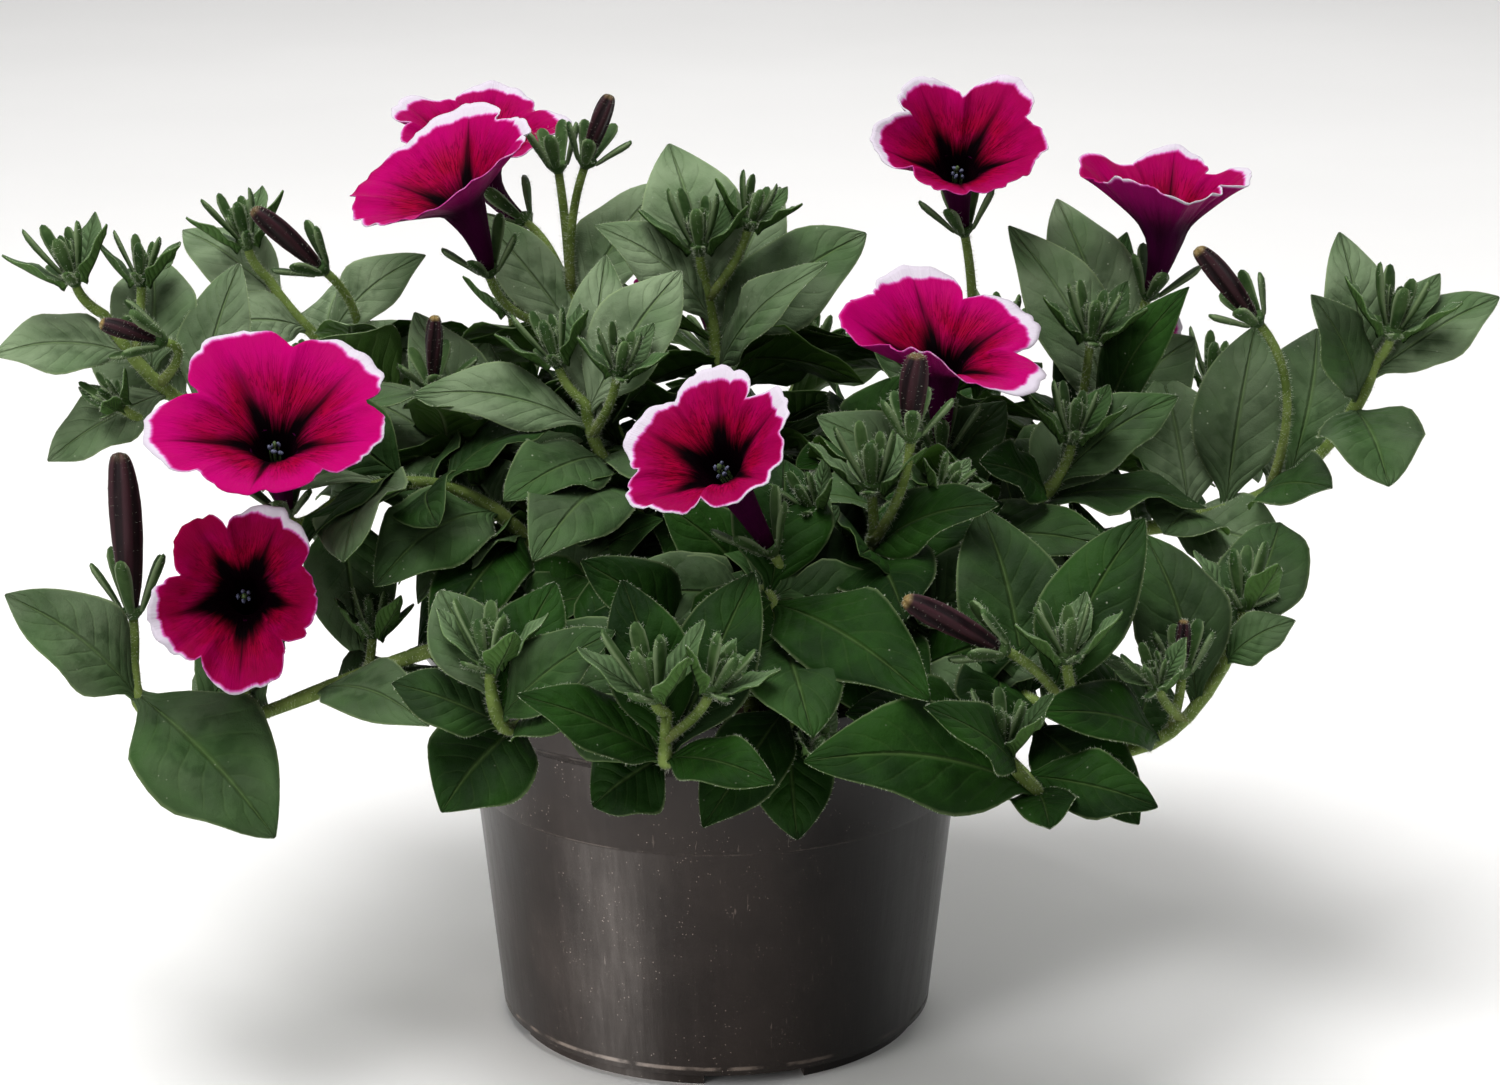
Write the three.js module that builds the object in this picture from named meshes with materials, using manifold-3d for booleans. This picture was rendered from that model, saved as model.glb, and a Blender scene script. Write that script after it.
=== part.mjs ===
// Picotee petunia in a nursery pot, in millimetres, +Z up.
// The origin is on the pot's axis, at the face that the pot stands on.

import * as THREE from "three";
import Module from "manifold-3d";

const wasm = await Module();
wasm.setup();

// Pot
const FOOT_RADIUS = 51.6;
const FOOT_HEIGHT = 4;
const WALL_FOOT_RADIUS = 54.4;
const BAND_RADIUS = 60.6;
const BAND_HEIGHT = 63;
const SHOULDER_RADIUS = 63.2;
const SHOULDER_HEIGHT = 84;
const COLLAR_RADIUS = 68;
const COLLAR_HEIGHT = 88;
const LIP_RADIUS = 73.5;
const LIP_HEIGHT = 101.5;
const LIP_THICKNESS = 2.6;
const LIP_ROUND = 0.9;
const COLLAR_FLARE = 1.6;
const BAND_STEP = 0.6;
const FOOT_WALL = 3.5;
const POT_WALL = 1.5;
const POT_FLOOR = 1.6;
const BOSS_RADIUS = 15;
const POT_SIDES = 28;
const NOTCHES = 4;
const NOTCH_WIDTH = 25;
const NOTCH_HEIGHT = 3.2;
const NOTCH_DEPTH_IN = 12;
const NOTCH_TURN = -79;
const DRAINS = 4;
const DRAIN_RADIUS = 4.5;
const DRAIN_RING = 36;
const DRAIN_SIDES = 6;

// Potting mix
const FIT = 0.4;
const MIX_TOP = 91;
const MIX_MOUND = 1.6;
const MIX_SHOULDER = 0.6;
const MIX_STEP = 1.4;
const HOLE_DEPTH = 13;
const HOLE_RADIUS = 3.1;
const HOLE_SIDES = 5;
const MIX_SIDES = 18;

// Stems and flower stalks
const STEM_RADIUS = 2;
const STEM_TIP_RADIUS = 1.3;
const STEM_STEPS = 5;
const STEM_SIDES = 5;
const STEM_UPRIGHT = 4;
const ROOT_GAP = 1;
const STALK_RADIUS = 1.15;
const STALK_STEPS = 2;
const STALK_BEND = 0.45;
const SECTION_START = [1, 0.3, 0.1];

// Leaves
const LEAF_THICKNESS = 1.3;
const LEAF_BOW = 0.1;
const LEAF_LEAN = 32;
const LEAF_FACING = [0, -0.62, 0.78];
const LEAF_OUTLINE = [[0.12, 0.09], [0.42, 0.5], [0.76, 0.36]];
const STEEPEST = [-75, 80];
const CLEARANCE = 1;
const ROOT_SHARE = 0.05;
const STALK_SHARE = 0.3;
const SMALLEST_OVERLAP = 0.001;
const HAND_TURNS = [0, 8, -8, 16, -16, 26, -26];
const HAND_LIFTS = [0, 8, -8, 16, -16];
const FILL_TURNS = [0, 30, -30, 60, -60, 100, -100, 150];
const FILL_LIFTS = [0, 20, -20];
const SIZES = [1, 0.82];

// Leaves that a rule places: where they start on the stem, their turn from it, length and slope
const FILL_PLACES = [0.28, 0.62];
const FILL_TURN = [45, 60];
const FILL_LENGTH = [35, 12];
const FILL_SLOPE = [-12, 42];
const FILL_WIDTH = 0.6;
const STEM_DRAW = 0.37;
const GOLDEN = 0.61803;

// Shoot tips, for a shoot of size 1
const SHOOT_DEPTH = 11;
const SHOOT_RISE = 0.6;
const SHOOT_CUP = [2.6, 2.7];
const SHOOT_APEX = 4;
const FINGER_LEAN = [16, 5];
const FINGER_LENGTH = [9, 2];
const FINGER_WIDTH = 2.8;
const FINGER_WAIST = 0.55;
const YOUNG_LEAF = [14, 7];
const YOUNG_LEAF_LEAN = 44;
const YOUNG_LEAF_WAIST = 0.5;

// Calyces, buds and corollas
const SEPAL_LENGTH = 13;
const BUD_SEPAL_SHARE = 0.85;
const SHORT_SEPAL_SHARE = 0.86;
const SEPAL_WIDTH = 3;
const SEPAL_SPREAD = 34;
const CUP_RADIUS = 2.7;
const CUP_HEIGHT = 2.6;
const CUP_HOLLOW = 0.55;
const SEAT_GAP = 0.4;
const LOBES = 5;
const NOTCH_DEPTH = 0.84;
const LOBE_ANGLES = [-36, -15, 15];
const PETAL_WALL = 0.95;
const TUBE_RADIUS = 1.5;
const TUBE_WAIST = [0.55, 2.8];
const TUBE_BOTTOM = 0.6;
const THROAT_RADIUS = 5.6;
const FUNNEL_HEIGHT = 0.62;
const BUD_SIDES = 8;
const BUD_OUTLINE = [[0, 0.42], [0.3, 0.6], [0.68, 1], [0.9, 0.66]];
const BUD_PLEAT = 0.82;
const BUD_FLARE = 8;
const CAPSULE_RADIUS = 1.3;
const CAPSULE_SIDES = 4;

// Each leafy stem: where it stands in the mix, two guide points and its tip.
// A leaf is its place along the stem, its tip (x, y, z) and its width.
// A shoot is its place along the stem, its tip (x, y, z) and its size.
// fill is the number of leaves that are placed by the rule.
const LEAFY_STEMS = {
  stem_left_upper: {
    root: [-30, 8], lift: [-62, 8, 154], reach: [-124, 4, 128], tip: [-150, 5, 180],
    leaves: [
      [0.93, -176, -4, 173, 20],
      [0.84, -162, -10, 146, 18],
      [0.88, -141, 28, 190, 22],
      [0.78, -118, 18, 190, 18],
      [0.72, -132, -22, 150, 20],
    ],
    shoots: [[1, -160, 3, 200, 1.2], [0.92, -141, 12, 196, 0.95], [0.75, -150, -8, 165, 0.75]],
    fill: 3,
  },
  stem_left_back: {
    root: [-24, 22], lift: [-50, 40, 150], reach: [-96, 58, 140], tip: [-116, 60, 176],
    leaves: [
      [0.86, -134, 42, 166, 22],
      [0.8, -77, 46, 184, 18],
      [0.93, -140, 76, 186, 20],
      [0.7, -92, 30, 172, 20],
      [0.5, -60, 60, 160, 24],
      [0.6, -96, 62, 168, 22],
    ],
    shoots: [[1, -124, 60, 196, 1.15]],
    fill: 3,
  },
  stem_left_middle: {
    root: [-32, -6], lift: [-44, -10, 142], reach: [-74, -16, 152], tip: [-96, -18, 136],
    leaves: [
      [0.4, -80, -46, 128, 25],
      [0.93, -86, -28, 102, 23],
      [0.78, -118, 8, 150, 22],
      [0.3, -66, -56, 114, 22],
    ],
    shoots: [],
    fill: 2,
  },
  stem_left_lower: {
    root: [-34, -21], lift: [-55, -45, 140], reach: [-140, -60, 60], tip: [-139, -43, 106],
    leaves: [
      [0.93, -166, -54, 127, 24],
      [0.94, -103, -73, 74, 34],
      [0.5, -66, -80, 104, 18],
      [0.72, -98, -20, 122, 20],
    ],
    shoots: [[0.42, -82, -32, 118, 0.85]],
    fill: 1,
  },
  stem_top_left: {
    root: [-12, 30], lift: [-16, 46, 130], reach: [-36, 58, 145], tip: [-38, 60, 176],
    leaves: [
      [0.78, -52, 74, 196, 18],
      [0.9, -14, 72, 200, 22],
    ],
    shoots: [],
    fill: 4,
  },
  stem_centre_left: {
    root: [-10, 6], lift: [-12, 8, 130], reach: [-30, 5, 135], tip: [-32, 3, 158],
    leaves: [
      [0.9, -74, -2, 162, 18],
      [0.75, -50, -32, 144, 22],
      [0.6, -42, -52, 136, 27],
      [0.96, -9, 16, 189, 22],
      [0.83, -38, 26, 190, 18],
    ],
    shoots: [[1, -42, 6, 178, 1.1], [0.87, -22, -8, 177, 1]],
    fill: 2,
  },
  stem_centre_bud: {
    root: [-20, 13], lift: [-28, 15, 128], reach: [-60, 15, 128], tip: [-69, 14, 146],
    leaves: [
      [0.92, -60, -2, 166, 22],
      [0.82, -96, 30, 154, 20],
      [0.72, -76, 34, 174, 22],
    ],
    shoots: [],
    fill: 3,
  },
  stem_top_centre: {
    root: [2, 30], lift: [4, 38, 130], reach: [2, 46, 150], tip: [-3, 44, 180],
    leaves: [
      [0.9, -14, 58, 212, 28],
      [0.8, 38, 56, 190, 27],
      [0.7, 26, 20, 190, 18],
      [0.86, -30, 34, 196, 20],
      [0.76, 17, 66, 202, 20],
      [0.15, -34, -10, 125, 26],
    ],
    shoots: [[1, -5, 40, 200, 1.25], [0.94, 11, 44, 203, 1]],
    fill: 4,
  },
  stem_top_right: {
    root: [15, 26], lift: [24, 40, 135], reach: [60, 50, 130], tip: [66, 50, 164],
    leaves: [
      [0.7, 40, 28, 166, 24],
      [0.4, 52, 26, 160, 22],
    ],
    shoots: [],
    fill: 5,
  },
  stem_centre_front: {
    root: [8, -16], lift: [16, -30, 125], reach: [24, -52, 105], tip: [20, -60, 124],
    leaves: [
      [0.9, -8, -66, 124, 20],
      [0.7, 44, -50, 128, 22],
      [0.35, -12, -40, 146, 24],
      [0.45, 24, -38, 152, 22],
    ],
    shoots: [],
    fill: 3,
  },
  stem_centre_right: {
    root: [12, -3], lift: [26, -14, 130], reach: [36, -40, 118], tip: [38, -46, 141],
    leaves: [
      [0.8, 44, -82, 130, 25],
      [0.84, 69, -46, 156, 20],
      [0.6, 70, -20, 140, 20],
    ],
    shoots: [[1, 37, -49, 163, 1.25], [0.87, 20, -50, 153, 0.85], [0.76, 57, -44, 155, 0.8]],
    fill: 1,
  },
  stem_right_inner: {
    root: [20, 8], lift: [36, 6, 130], reach: [54, 2, 125], tip: [56, 3, 138],
    leaves: [
      [0.85, 26, 0, 156, 22],
      [0.72, 72, 14, 156, 20],
    ],
    shoots: [],
    fill: 3,
  },
  stem_right_back: {
    root: [30, 18], lift: [54, 24, 150], reach: [95, 26, 110], tip: [107, 32, 160],
    leaves: [
      [0.96, 91, 54, 202, 24],
      [0.87, 76, 42, 195, 24],
      [0.82, 113, 6, 186, 18],
      [0.76, 122, 42, 165, 28],
      [0.7, 106, 62, 188, 20],
      [0.42, 98, 0, 146, 24],
    ],
    shoots: [[0.7, 94, 14, 182, 1.15]],
    fill: 3,
  },
  stem_right_small: {
    root: [27, -2], lift: [40, -4, 130], reach: [78, -6, 122], tip: [86, -8, 146],
    leaves: [
      [0.9, 113, -16, 161, 18],
      [0.87, 64, -22, 150, 18],
      [0.8, 100, 16, 156, 22],
      [0.5, 95, -30, 132, 22],
    ],
    shoots: [[1, 88, -10, 163, 1.1]],
    fill: 2,
  },
  stem_far_right: {
    root: [40, 8], lift: [64, 10, 140], reach: [145, 12, 100], tip: [163, 6, 168],
    leaves: [
      [0.93, 163, -22, 145, 27],
      [0.97, 156, 18, 198, 18],
      [0.94, 143, 0, 187, 18],
      [0.98, 193, 5, 184, 20],
      [0.72, 150, -16, 142, 22],
      [0.78, 153, 40, 168, 26],
      [0.62, 110, -14, 130, 24],
      [0.66, 136, 30, 171, 24],
      [0.56, 136, -14, 124, 24],
      [0.6, 120, 34, 158, 24],
    ],
    shoots: [[1, 168, 2, 188, 1.3]],
    fill: 2,
  },
  stem_right_lower: {
    root: [34, -22], lift: [42, -52, 150], reach: [88, -116, 58], tip: [124, -54, 118],
    leaves: [
      [0.97, 149, -22, 134, 22],
      [0.9, 102, -48, 140, 24],
      [0.96, 136, -62, 123, 13],
      [0.82, 74, -100, 114, 20],
      [0.55, 97, -100, 87, 24],
    ],
    shoots: [[1, 126, -49, 134, 1.15], [0.87, 100, -82, 120, 0.85]],
    fill: 0,
  },
  stem_front_right: {
    root: [22, -32], lift: [36, -62, 140], reach: [94, -112, 72], tip: [66, -110, 106],
    leaves: [
      [0.86, 21, -126, 112, 28],
      [0.97, 44, -126, 125, 16],
      [0.76, 75, -122, 94, 16],
      [0.68, 98, -114, 95, 18],
    ],
    shoots: [[1, 65, -111, 119, 1.05]],
    fill: 1,
  },
  stem_front: {
    root: [-3, -34], lift: [-6, -62, 142], reach: [-12, -116, 78], tip: [-10, -110, 117],
    leaves: [
      [0.84, 14, -131, 108, 15],
      [0.88, -20, -94, 143, 20],
      [0.25, -30, -70, 140, 22],
      [0.84, 14, -94, 143, 22],
      [0.8, -42, -116, 124, 17],
      [0.7, -27, -107, 94, 23],
    ],
    shoots: [[1, -15, -114, 134, 1.3], [0.94, 4, -112, 132, 1.05]],
    fill: 0,
  },
  stem_front_left: {
    root: [-20, -30], lift: [-28, -54, 140], reach: [-46, -104, 84], tip: [-50, -98, 120],
    leaves: [
      [0.96, -60, -84, 138, 18],
      [0.92, -38, -82, 141, 18],
      [0.88, -24, -97, 138, 19],
      [0.84, -72, -98, 120, 18],
      [0.68, -61, -107, 93, 28],
      [0.76, -28, -114, 117, 17],
    ],
    shoots: [[1, -50, -98, 135, 1.15]],
    fill: 0,
  },
  stem_right_front: {
    root: [26, -13], lift: [44, -36, 142], reach: [80, -90, 92], tip: [82, -87, 114],
    leaves: [
      [0.7, 63, -50, 147, 26],
      [0.8, 100, -62, 148, 22],
      [0.88, 104, -98, 118, 16],
    ],
    shoots: [[1, 80, -88, 133, 1.1]],
    fill: 1,
  },
  stem_front_inner: {
    root: [9, -36], lift: [9, -52, 150], reach: [17, -82, 130], tip: [18, -92, 104],
    leaves: [
      [0.55, 48, -116, 123, 26],
      [0.94, 23, -102, 84, 20],
      [0.9, -2, -108, 89, 20],
      [0.7, 10, -122, 117, 26],
    ],
    shoots: [[1, 26, -100, 108, 0.7]],
    fill: 0,
  },
  stem_back_left: {
    root: [-16, 44], lift: [-22, 60, 140], reach: [-50, 110, 120], tip: [-56, 122, 146],
    leaves: [],
    shoots: [[1, -58, 125, 162, 1.1]],
    fill: 5,
  },
  stem_back: {
    root: [2, 46], lift: [4, 66, 140], reach: [12, 118, 110], tip: [22, 124, 132],
    leaves: [],
    shoots: [[1, 27, 128, 148, 1.1]],
    fill: 5,
  },
  stem_back_right: {
    root: [20, 40], lift: [30, 60, 140], reach: [70, 105, 115], tip: [76, 112, 140],
    leaves: [],
    shoots: [[1, 78, 116, 156, 1.1]],
    fill: 5,
  },
  stem_left_back_low: {
    root: [-34, 30], lift: [-54, 48, 138], reach: [-104, 88, 112], tip: [-112, 92, 134],
    leaves: [],
    shoots: [[1, -114, 94, 150, 1.1]],
    fill: 5,
  },
  stem_right_back_low: {
    root: [40, 26], lift: [62, 44, 138], reach: [120, 80, 110], tip: [130, 84, 136],
    leaves: [],
    shoots: [[1, 133, 86, 152, 1.1]],
    fill: 5,
  },
};

// Each bloom: its stem and place on it, the calyx, the middle of the corolla's rim, the azimuth and
// height angle that the bloom faces, its width, how deep the throat lies and how far its lobes turn.
const BLOOMS = {
  corolla_left_large: {
    stem: "stem_left_middle", at: 1, calyx: [-103, -27, 140], rim: [-104, -42, 169],
    face: [-88, 60], across: 59, cup: 13, turn: 10, curls: [0, -2, 0, -2, 0],
  },
  corolla_left_small: {
    stem: "stem_left_lower", at: 0.62, calyx: [-112, -43, 104], rim: [-111, -61, 128],
    face: [-90, 15], across: 46, cup: 12, turn: 18, curls: [0, 0, 0, 0, 0],
  },
  corolla_centre: {
    stem: "stem_centre_front", at: 1, calyx: [13, -62, 141], rim: [-3, -75, 171],
    face: [-129, 50], across: 47, cup: 12, turn: 0, curls: [0, 2, 0, 1, 0],
  },
  corolla_right_middle: {
    stem: "stem_right_inner", at: 1, calyx: [56, 3, 147], rim: [55, -5, 179],
    face: [-95, 68], across: 53, cup: 12, turn: 18, curls: [0, 0, 0, 7, 0],
  },
  corolla_top_right: {
    stem: "stem_top_right", at: 1, calyx: [63, 50, 192], rim: [61, 38, 218],
    face: [-90, 58], across: 46, cup: 12, turn: 18, curls: [0, 1, 0, 2, 0],
  },
  corolla_right_side: {
    stem: "stem_right_back", at: 1, calyx: [110, 38, 178], rim: [113, 35, 208],
    face: [-90, 86], across: 45, cup: 14, turn: 0, curls: [0, 1, 3, 1, 0],
  },
  corolla_top_left_front: {
    stem: "stem_top_left", at: 0.84, calyx: [-58, 42, 183], rim: [-69, 32, 212],
    face: [-147, 60], across: 55, cup: 13, turn: 0, curls: [0, -2, 0, 0, 0],
  },
  corolla_top_left_back: {
    stem: "stem_top_left", at: 0.92, calyx: [-51, 76, 188], rim: [-62, 85, 213],
    face: [-90, 76], across: 48, cup: 12, turn: 18, curls: [0, 0, 0, 0, 0],
  },
  corolla_back: {
    stem: "stem_back", at: 0.8, calyx: [0, 103, 146], rim: [-2, 120, 166],
    face: [95, 48], across: 50, cup: 12, turn: 0, curls: [0, 0, 2, 0, 0],
  },
  corolla_back_right: {
    stem: "stem_back_right", at: 0.86, calyx: [95, 98, 138], rim: [106, 110, 155],
    face: [50, 44], across: 48, cup: 12, turn: 18, curls: [0, 0, 0, 1, 0],
  },
};

// Each bud: its stem and place on it, its calyx, its tip, its radius and the spread of its sepals.
const BUDS = {
  bud_left_tall: {
    stem: "stem_left_lower", at: 1, calyx: [-139, -41, 119], tip: [-141, -38, 157],
    radius: 3.7, spread: 28,
  },
  bud_left_upper: {
    stem: "stem_left_upper", at: 0.86, calyx: [-136, -4, 176], tip: [-149, -8, 181],
    radius: 2.4, spread: 26,
  },
  bud_left_back: {
    stem: "stem_left_back", at: 0.7, calyx: [-101, 44, 183], tip: [-117, 39, 199],
    radius: 3, spread: 30,
  },
  bud_top_left: {
    stem: "stem_top_left", at: 0.97, calyx: [-33, 58, 208], tip: [-27, 56, 225],
    radius: 2.6, spread: 34,
  },
  bud_centre_left: {
    stem: "stem_centre_bud", at: 1, calyx: [-70, 11, 161], tip: [-69, 8, 179],
    radius: 2.3, spread: 46,
  },
  bud_centre_right: {
    stem: "stem_centre_right", at: 0.93, calyx: [46, -56, 167], tip: [47, -57, 186],
    radius: 3, spread: 36,
  },
  bud_right_upper: {
    stem: "stem_far_right", at: 0.74, calyx: [132, 2, 180], tip: [117, -1, 198],
    radius: 3, spread: 32,
  },
  bud_right_front: {
    stem: "stem_right_front", at: 0.92, calyx: [65, -91, 126], tip: [43, -96, 139],
    radius: 3.2, spread: 26,
  },
  bud_right_small: {
    stem: "stem_right_lower", at: 0.84, calyx: [109, -70, 114], tip: [109, -71, 126],
    radius: 1.9, spread: 24,
  },
};

// A calyx whose corolla has dropped, with its green seed capsule.
const SPENT_CALYX = {
  stem: "stem_top_left", at: 1, calyx: [-41, 62, 206], tip: [-42, 62, 213], spread: 34,
};

const UP = new THREE.Vector3(0, 0, 1);
const NEARLY_ALONG = 0.05;
const rad = THREE.MathUtils.degToRad;

function vec(p) {
  return new THREE.Vector3(p[0], p[1], p[2]);
}

// Direction with an azimuth and a height angle in degrees.
function heading(azimuth, height) {
  const flat = Math.cos(rad(height));
  return new THREE.Vector3(
    flat * Math.cos(rad(azimuth)), flat * Math.sin(rad(azimuth)), Math.sin(rad(height)),
  );
}

// Two directions square to a third, the first as near to a wanted one as it can be.
function across(direction, wanted) {
  const first = wanted.clone().addScaledVector(direction, -wanted.dot(direction));
  if (first.length() < NEARLY_ALONG) {
    first.set(1, 0, 0).addScaledVector(direction, -direction.x);
  }
  first.normalize();
  const second = new THREE.Vector3().crossVectors(direction, first);
  return [first, second];
}

// Shell between rings of points. A first or last ring with one point closes it as a tip.
function shell(rings) {
  const points = rings.flat();
  const faces = [];
  let here = 0;
  for (let r = 0; r + 1 < rings.length; r += 1) {
    const low = rings[r].length;
    const high = rings[r + 1].length;
    const next = here + low;
    for (let j = 0; j < Math.max(low, high); j += 1) {
      const k = (j + 1) % Math.max(low, high);
      if (low === 1) {
        faces.push([here, next + k, next + j]);
      } else if (high === 1) {
        faces.push([here + j, here + k, next]);
      } else if (j % 2 === 0) {
        faces.push([here + j, here + k, next + k], [here + j, next + k, next + j]);
      } else {
        faces.push([here + j, here + k, next + j], [here + k, next + k, next + j]);
      }
    }
    here = next;
  }
  for (let i = 1; i < rings[0].length - 1; i += 1) {
    faces.push([0, i + 1, i]);
  }
  for (let i = 1; i < rings[rings.length - 1].length - 1; i += 1) {
    faces.push([here, here + i, here + i + 1]);
  }
  return { points, faces };
}

// Grows an outgrowth from one triangle of a shell: three points round its middle, then its tip.
function grow(model, face, middle, tip) {
  const corners = middle.map((point) => model.points.push(point) - 1);
  const end = model.points.push(tip) - 1;
  model.faces.splice(model.faces.indexOf(face), 1);
  for (let j = 0; j < 3; j += 1) {
    const k = (j + 1) % 3;
    model.faces.push([face[j], face[k], corners[k]], [face[j], corners[k], corners[j]]);
    model.faces.push([corners[j], corners[k], end]);
  }
}

// Grows a sepal or a finger-like young leaf.
function growFinger(model, face, direction, length, width) {
  const base = face.map((corner) => model.points[corner]);
  const centre = base[0].clone().add(base[1]).add(base[2]).divideScalar(3);
  const waist = centre.clone().addScaledVector(direction, length * FINGER_WAIST);
  const middle = base.map((point) => {
    const offset = point.clone().sub(centre);
    offset.addScaledVector(direction, -offset.dot(direction));
    return waist.clone().add(offset.setLength(width / 2));
  });
  grow(model, face, middle, centre.clone().addScaledVector(direction, length));
}

// Grows a small flat leaf. The corner that is lowest on the shoot becomes the leaf's underside.
function growLeaf(model, face, low, axis, direction, length, width) {
  const base = face.map((corner) => model.points[corner]);
  const centre = base[0].clone().add(base[1]).add(base[2]).divideScalar(3);
  const waist = centre.clone().addScaledVector(direction, length * YOUNG_LEAF_WAIST);
  const [normal] = across(direction, axis);
  const middle = base.map((point, i) => {
    if (face[i] < low) {
      return waist.clone().addScaledVector(normal, -LEAF_THICKNESS);
    }
    const offset = point.clone().sub(centre);
    offset.addScaledVector(direction, -offset.dot(direction));
    offset.addScaledVector(normal, -offset.dot(normal));
    return waist.clone().add(offset.setLength(width / 2));
  });
  grow(model, face, middle, centre.clone().addScaledVector(direction, length));
}

// Solid from points and triangles, turned so that its faces point out.
function solid({ points, faces }) {
  let volume = 0;
  for (const [a, b, c] of faces) {
    volume += points[a].dot(new THREE.Vector3().crossVectors(points[b], points[c]));
  }
  const turned = volume < 0 ? faces.map(([a, b, c]) => [a, c, b]) : faces;
  return new wasm.Manifold(new wasm.Mesh({
    numProp: 3,
    vertProperties: Float32Array.from(points.flatMap((p) => [p.x, p.y, p.z])),
    triVerts: Uint32Array.from(turned.flat()),
  }));
}

// Solid from a three.js geometry whose corners are shared by place.
function solidFrom(geometry) {
  const place = geometry.attributes.position;
  const seen = new Map();
  const points = [];
  const corners = [];
  for (let i = 0; i < place.count; i += 1) {
    const p = new THREE.Vector3().fromBufferAttribute(place, i);
    const key = [p.x, p.y, p.z].map((value) => Math.round(value * 1000)).join();
    if (!seen.has(key)) {
      seen.set(key, points.length);
      points.push(p);
    }
    corners.push(seen.get(key));
  }
  const faces = [];
  for (let i = 0; i < geometry.index.count; i += 3) {
    const [a, b, c] = [0, 1, 2].map((step) => corners[geometry.index.getX(i + step)]);
    if (a !== b && b !== c && c !== a) {
      faces.push([a, b, c]);
    }
  }
  return solid({ points, faces });
}

function lathe(profile, sides) {
  const points = profile.map(([radius, height]) => new THREE.Vector2(radius, height));
  return solidFrom(new THREE.LatheGeometry(points, sides).rotateX(Math.PI / 2));
}

function rod(radius, low, high, sides, x, y) {
  const geometry = new THREE.CylinderGeometry(radius, radius, high - low, sides);
  geometry.rotateX(Math.PI / 2).translate(x, y, (low + high) / 2);
  return solidFrom(geometry);
}

// Rings round a line of points, with a radius at each point.
function ringsAlong(points, radii, sides) {
  let wanted = vec(SECTION_START);
  return points.map((point, i) => {
    const before = points[Math.max(i - 1, 0)];
    const after = points[Math.min(i + 1, points.length - 1)];
    const along = after.clone().sub(before).normalize();
    const [first, second] = across(along, wanted);
    wanted = first;
    return ringAt(point, first, second, radii[i], sides);
  });
}

function ringAt(centre, first, second, radius, sides) {
  const ring = [];
  for (let j = 0; j < sides; j += 1) {
    const turn = (2 * Math.PI * j) / sides;
    ring.push(centre.clone()
      .addScaledVector(first, radius * Math.cos(turn))
      .addScaledVector(second, radius * Math.sin(turn)));
  }
  return ring;
}

function blend(from, to, share) {
  return from + (to - from) * share;
}

// Leaf blade from its base to its tip, bowed up between them. Its underside has the midrib.
// margin widens and thickens it, and from skips that share of its length at the base.
function blade(leaf, margin = 0, from = 0) {
  const chord = leaf.tip.clone().sub(leaf.base);
  const length = chord.length();
  const along = chord.clone().normalize();
  const [normal, side] = across(along, leaf.facing);
  const middle = (share) => leaf.base.clone()
    .addScaledVector(chord, share)
    .addScaledVector(normal, 4 * LEAF_BOW * length * share * (1 - share));
  const rings = LEAF_OUTLINE.filter(([share]) => share > from).map(([share, half]) => {
    const reach = leaf.width * half + margin / 2;
    const centre = middle(share);
    const top = centre.clone().addScaledVector(normal, margin / 2);
    return [
      top.clone().addScaledVector(side, reach),
      top.clone().addScaledVector(side, -reach),
      centre.clone().addScaledVector(normal, -LEAF_THICKNESS - margin / 2),
    ];
  });
  return solid(shell([[middle(from)], ...rings, [middle(1)]]));
}

// The places that a leaf may take, nearest to the wanted one first.
function choices(leaf, turns, lifts) {
  const chord = leaf.tip.clone().sub(leaf.base);
  const level = Math.hypot(chord.x, chord.y);
  const azimuth = THREE.MathUtils.radToDeg(Math.atan2(chord.y, chord.x));
  const height = THREE.MathUtils.radToDeg(Math.atan2(chord.z, level));
  const list = [];
  for (const size of SIZES) {
    for (const lift of lifts) {
      for (const turn of turns) {
        const direction = heading(azimuth + turn, THREE.MathUtils.clamp(height + lift, ...STEEPEST));
        const tip = leaf.base.clone().addScaledVector(direction, chord.length() * size);
        list.push({ ...leaf, tip, width: leaf.width * size });
      }
    }
  }
  return list;
}

// The course of a stem from just above the mix.
function stemCurve(stem) {
  return new THREE.CubicBezierCurve3(
    new THREE.Vector3(stem.root[0], stem.root[1], MIX_TOP + STEM_UPRIGHT),
    vec(stem.lift), vec(stem.reach), vec(stem.tip),
  );
}

// Points of a stalk from its start to an end that it reaches along a given direction.
function stalkPoints(start, end, direction) {
  const bend = end.clone().addScaledVector(direction, -STALK_BEND * end.distanceTo(start));
  return new THREE.QuadraticBezierCurve3(start, bend, end).getPoints(STALK_STEPS);
}

// The point at a place along the straight pieces that a stem is made of.
function pointOn(stem, place) {
  const points = stemCurve(stem).getPoints(STEM_STEPS);
  const step = Math.min(Math.floor(place * STEM_STEPS), STEM_STEPS - 1);
  return points[step].clone().lerp(points[step + 1], place * STEM_STEPS - step);
}

function stemPoints(stem) {
  const root = new THREE.Vector3(stem.root[0], stem.root[1], MIX_TOP - HOLE_DEPTH + ROOT_GAP);
  return [root, ...stemCurve(stem).getPoints(STEM_STEPS)];
}

function stemRadii() {
  const steps = [...new Array(STEM_STEPS + 1).keys()];
  return [STEM_RADIUS, ...steps.map((i) => blend(STEM_RADIUS, STEM_TIP_RADIUS, i / STEM_STEPS))];
}

// A ring square to an axis that widens or narrows the last one and moves it along the axis.
function nextRing(ring, axis, along, radius) {
  const centre = ring.reduce((sum, point) => sum.add(point), new THREE.Vector3())
    .divideScalar(ring.length);
  return ring.map((point) => {
    const offset = point.clone().sub(centre);
    offset.addScaledVector(axis, -offset.dot(axis)).setLength(radius);
    return centre.clone().addScaledVector(axis, along).add(offset);
  });
}

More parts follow.
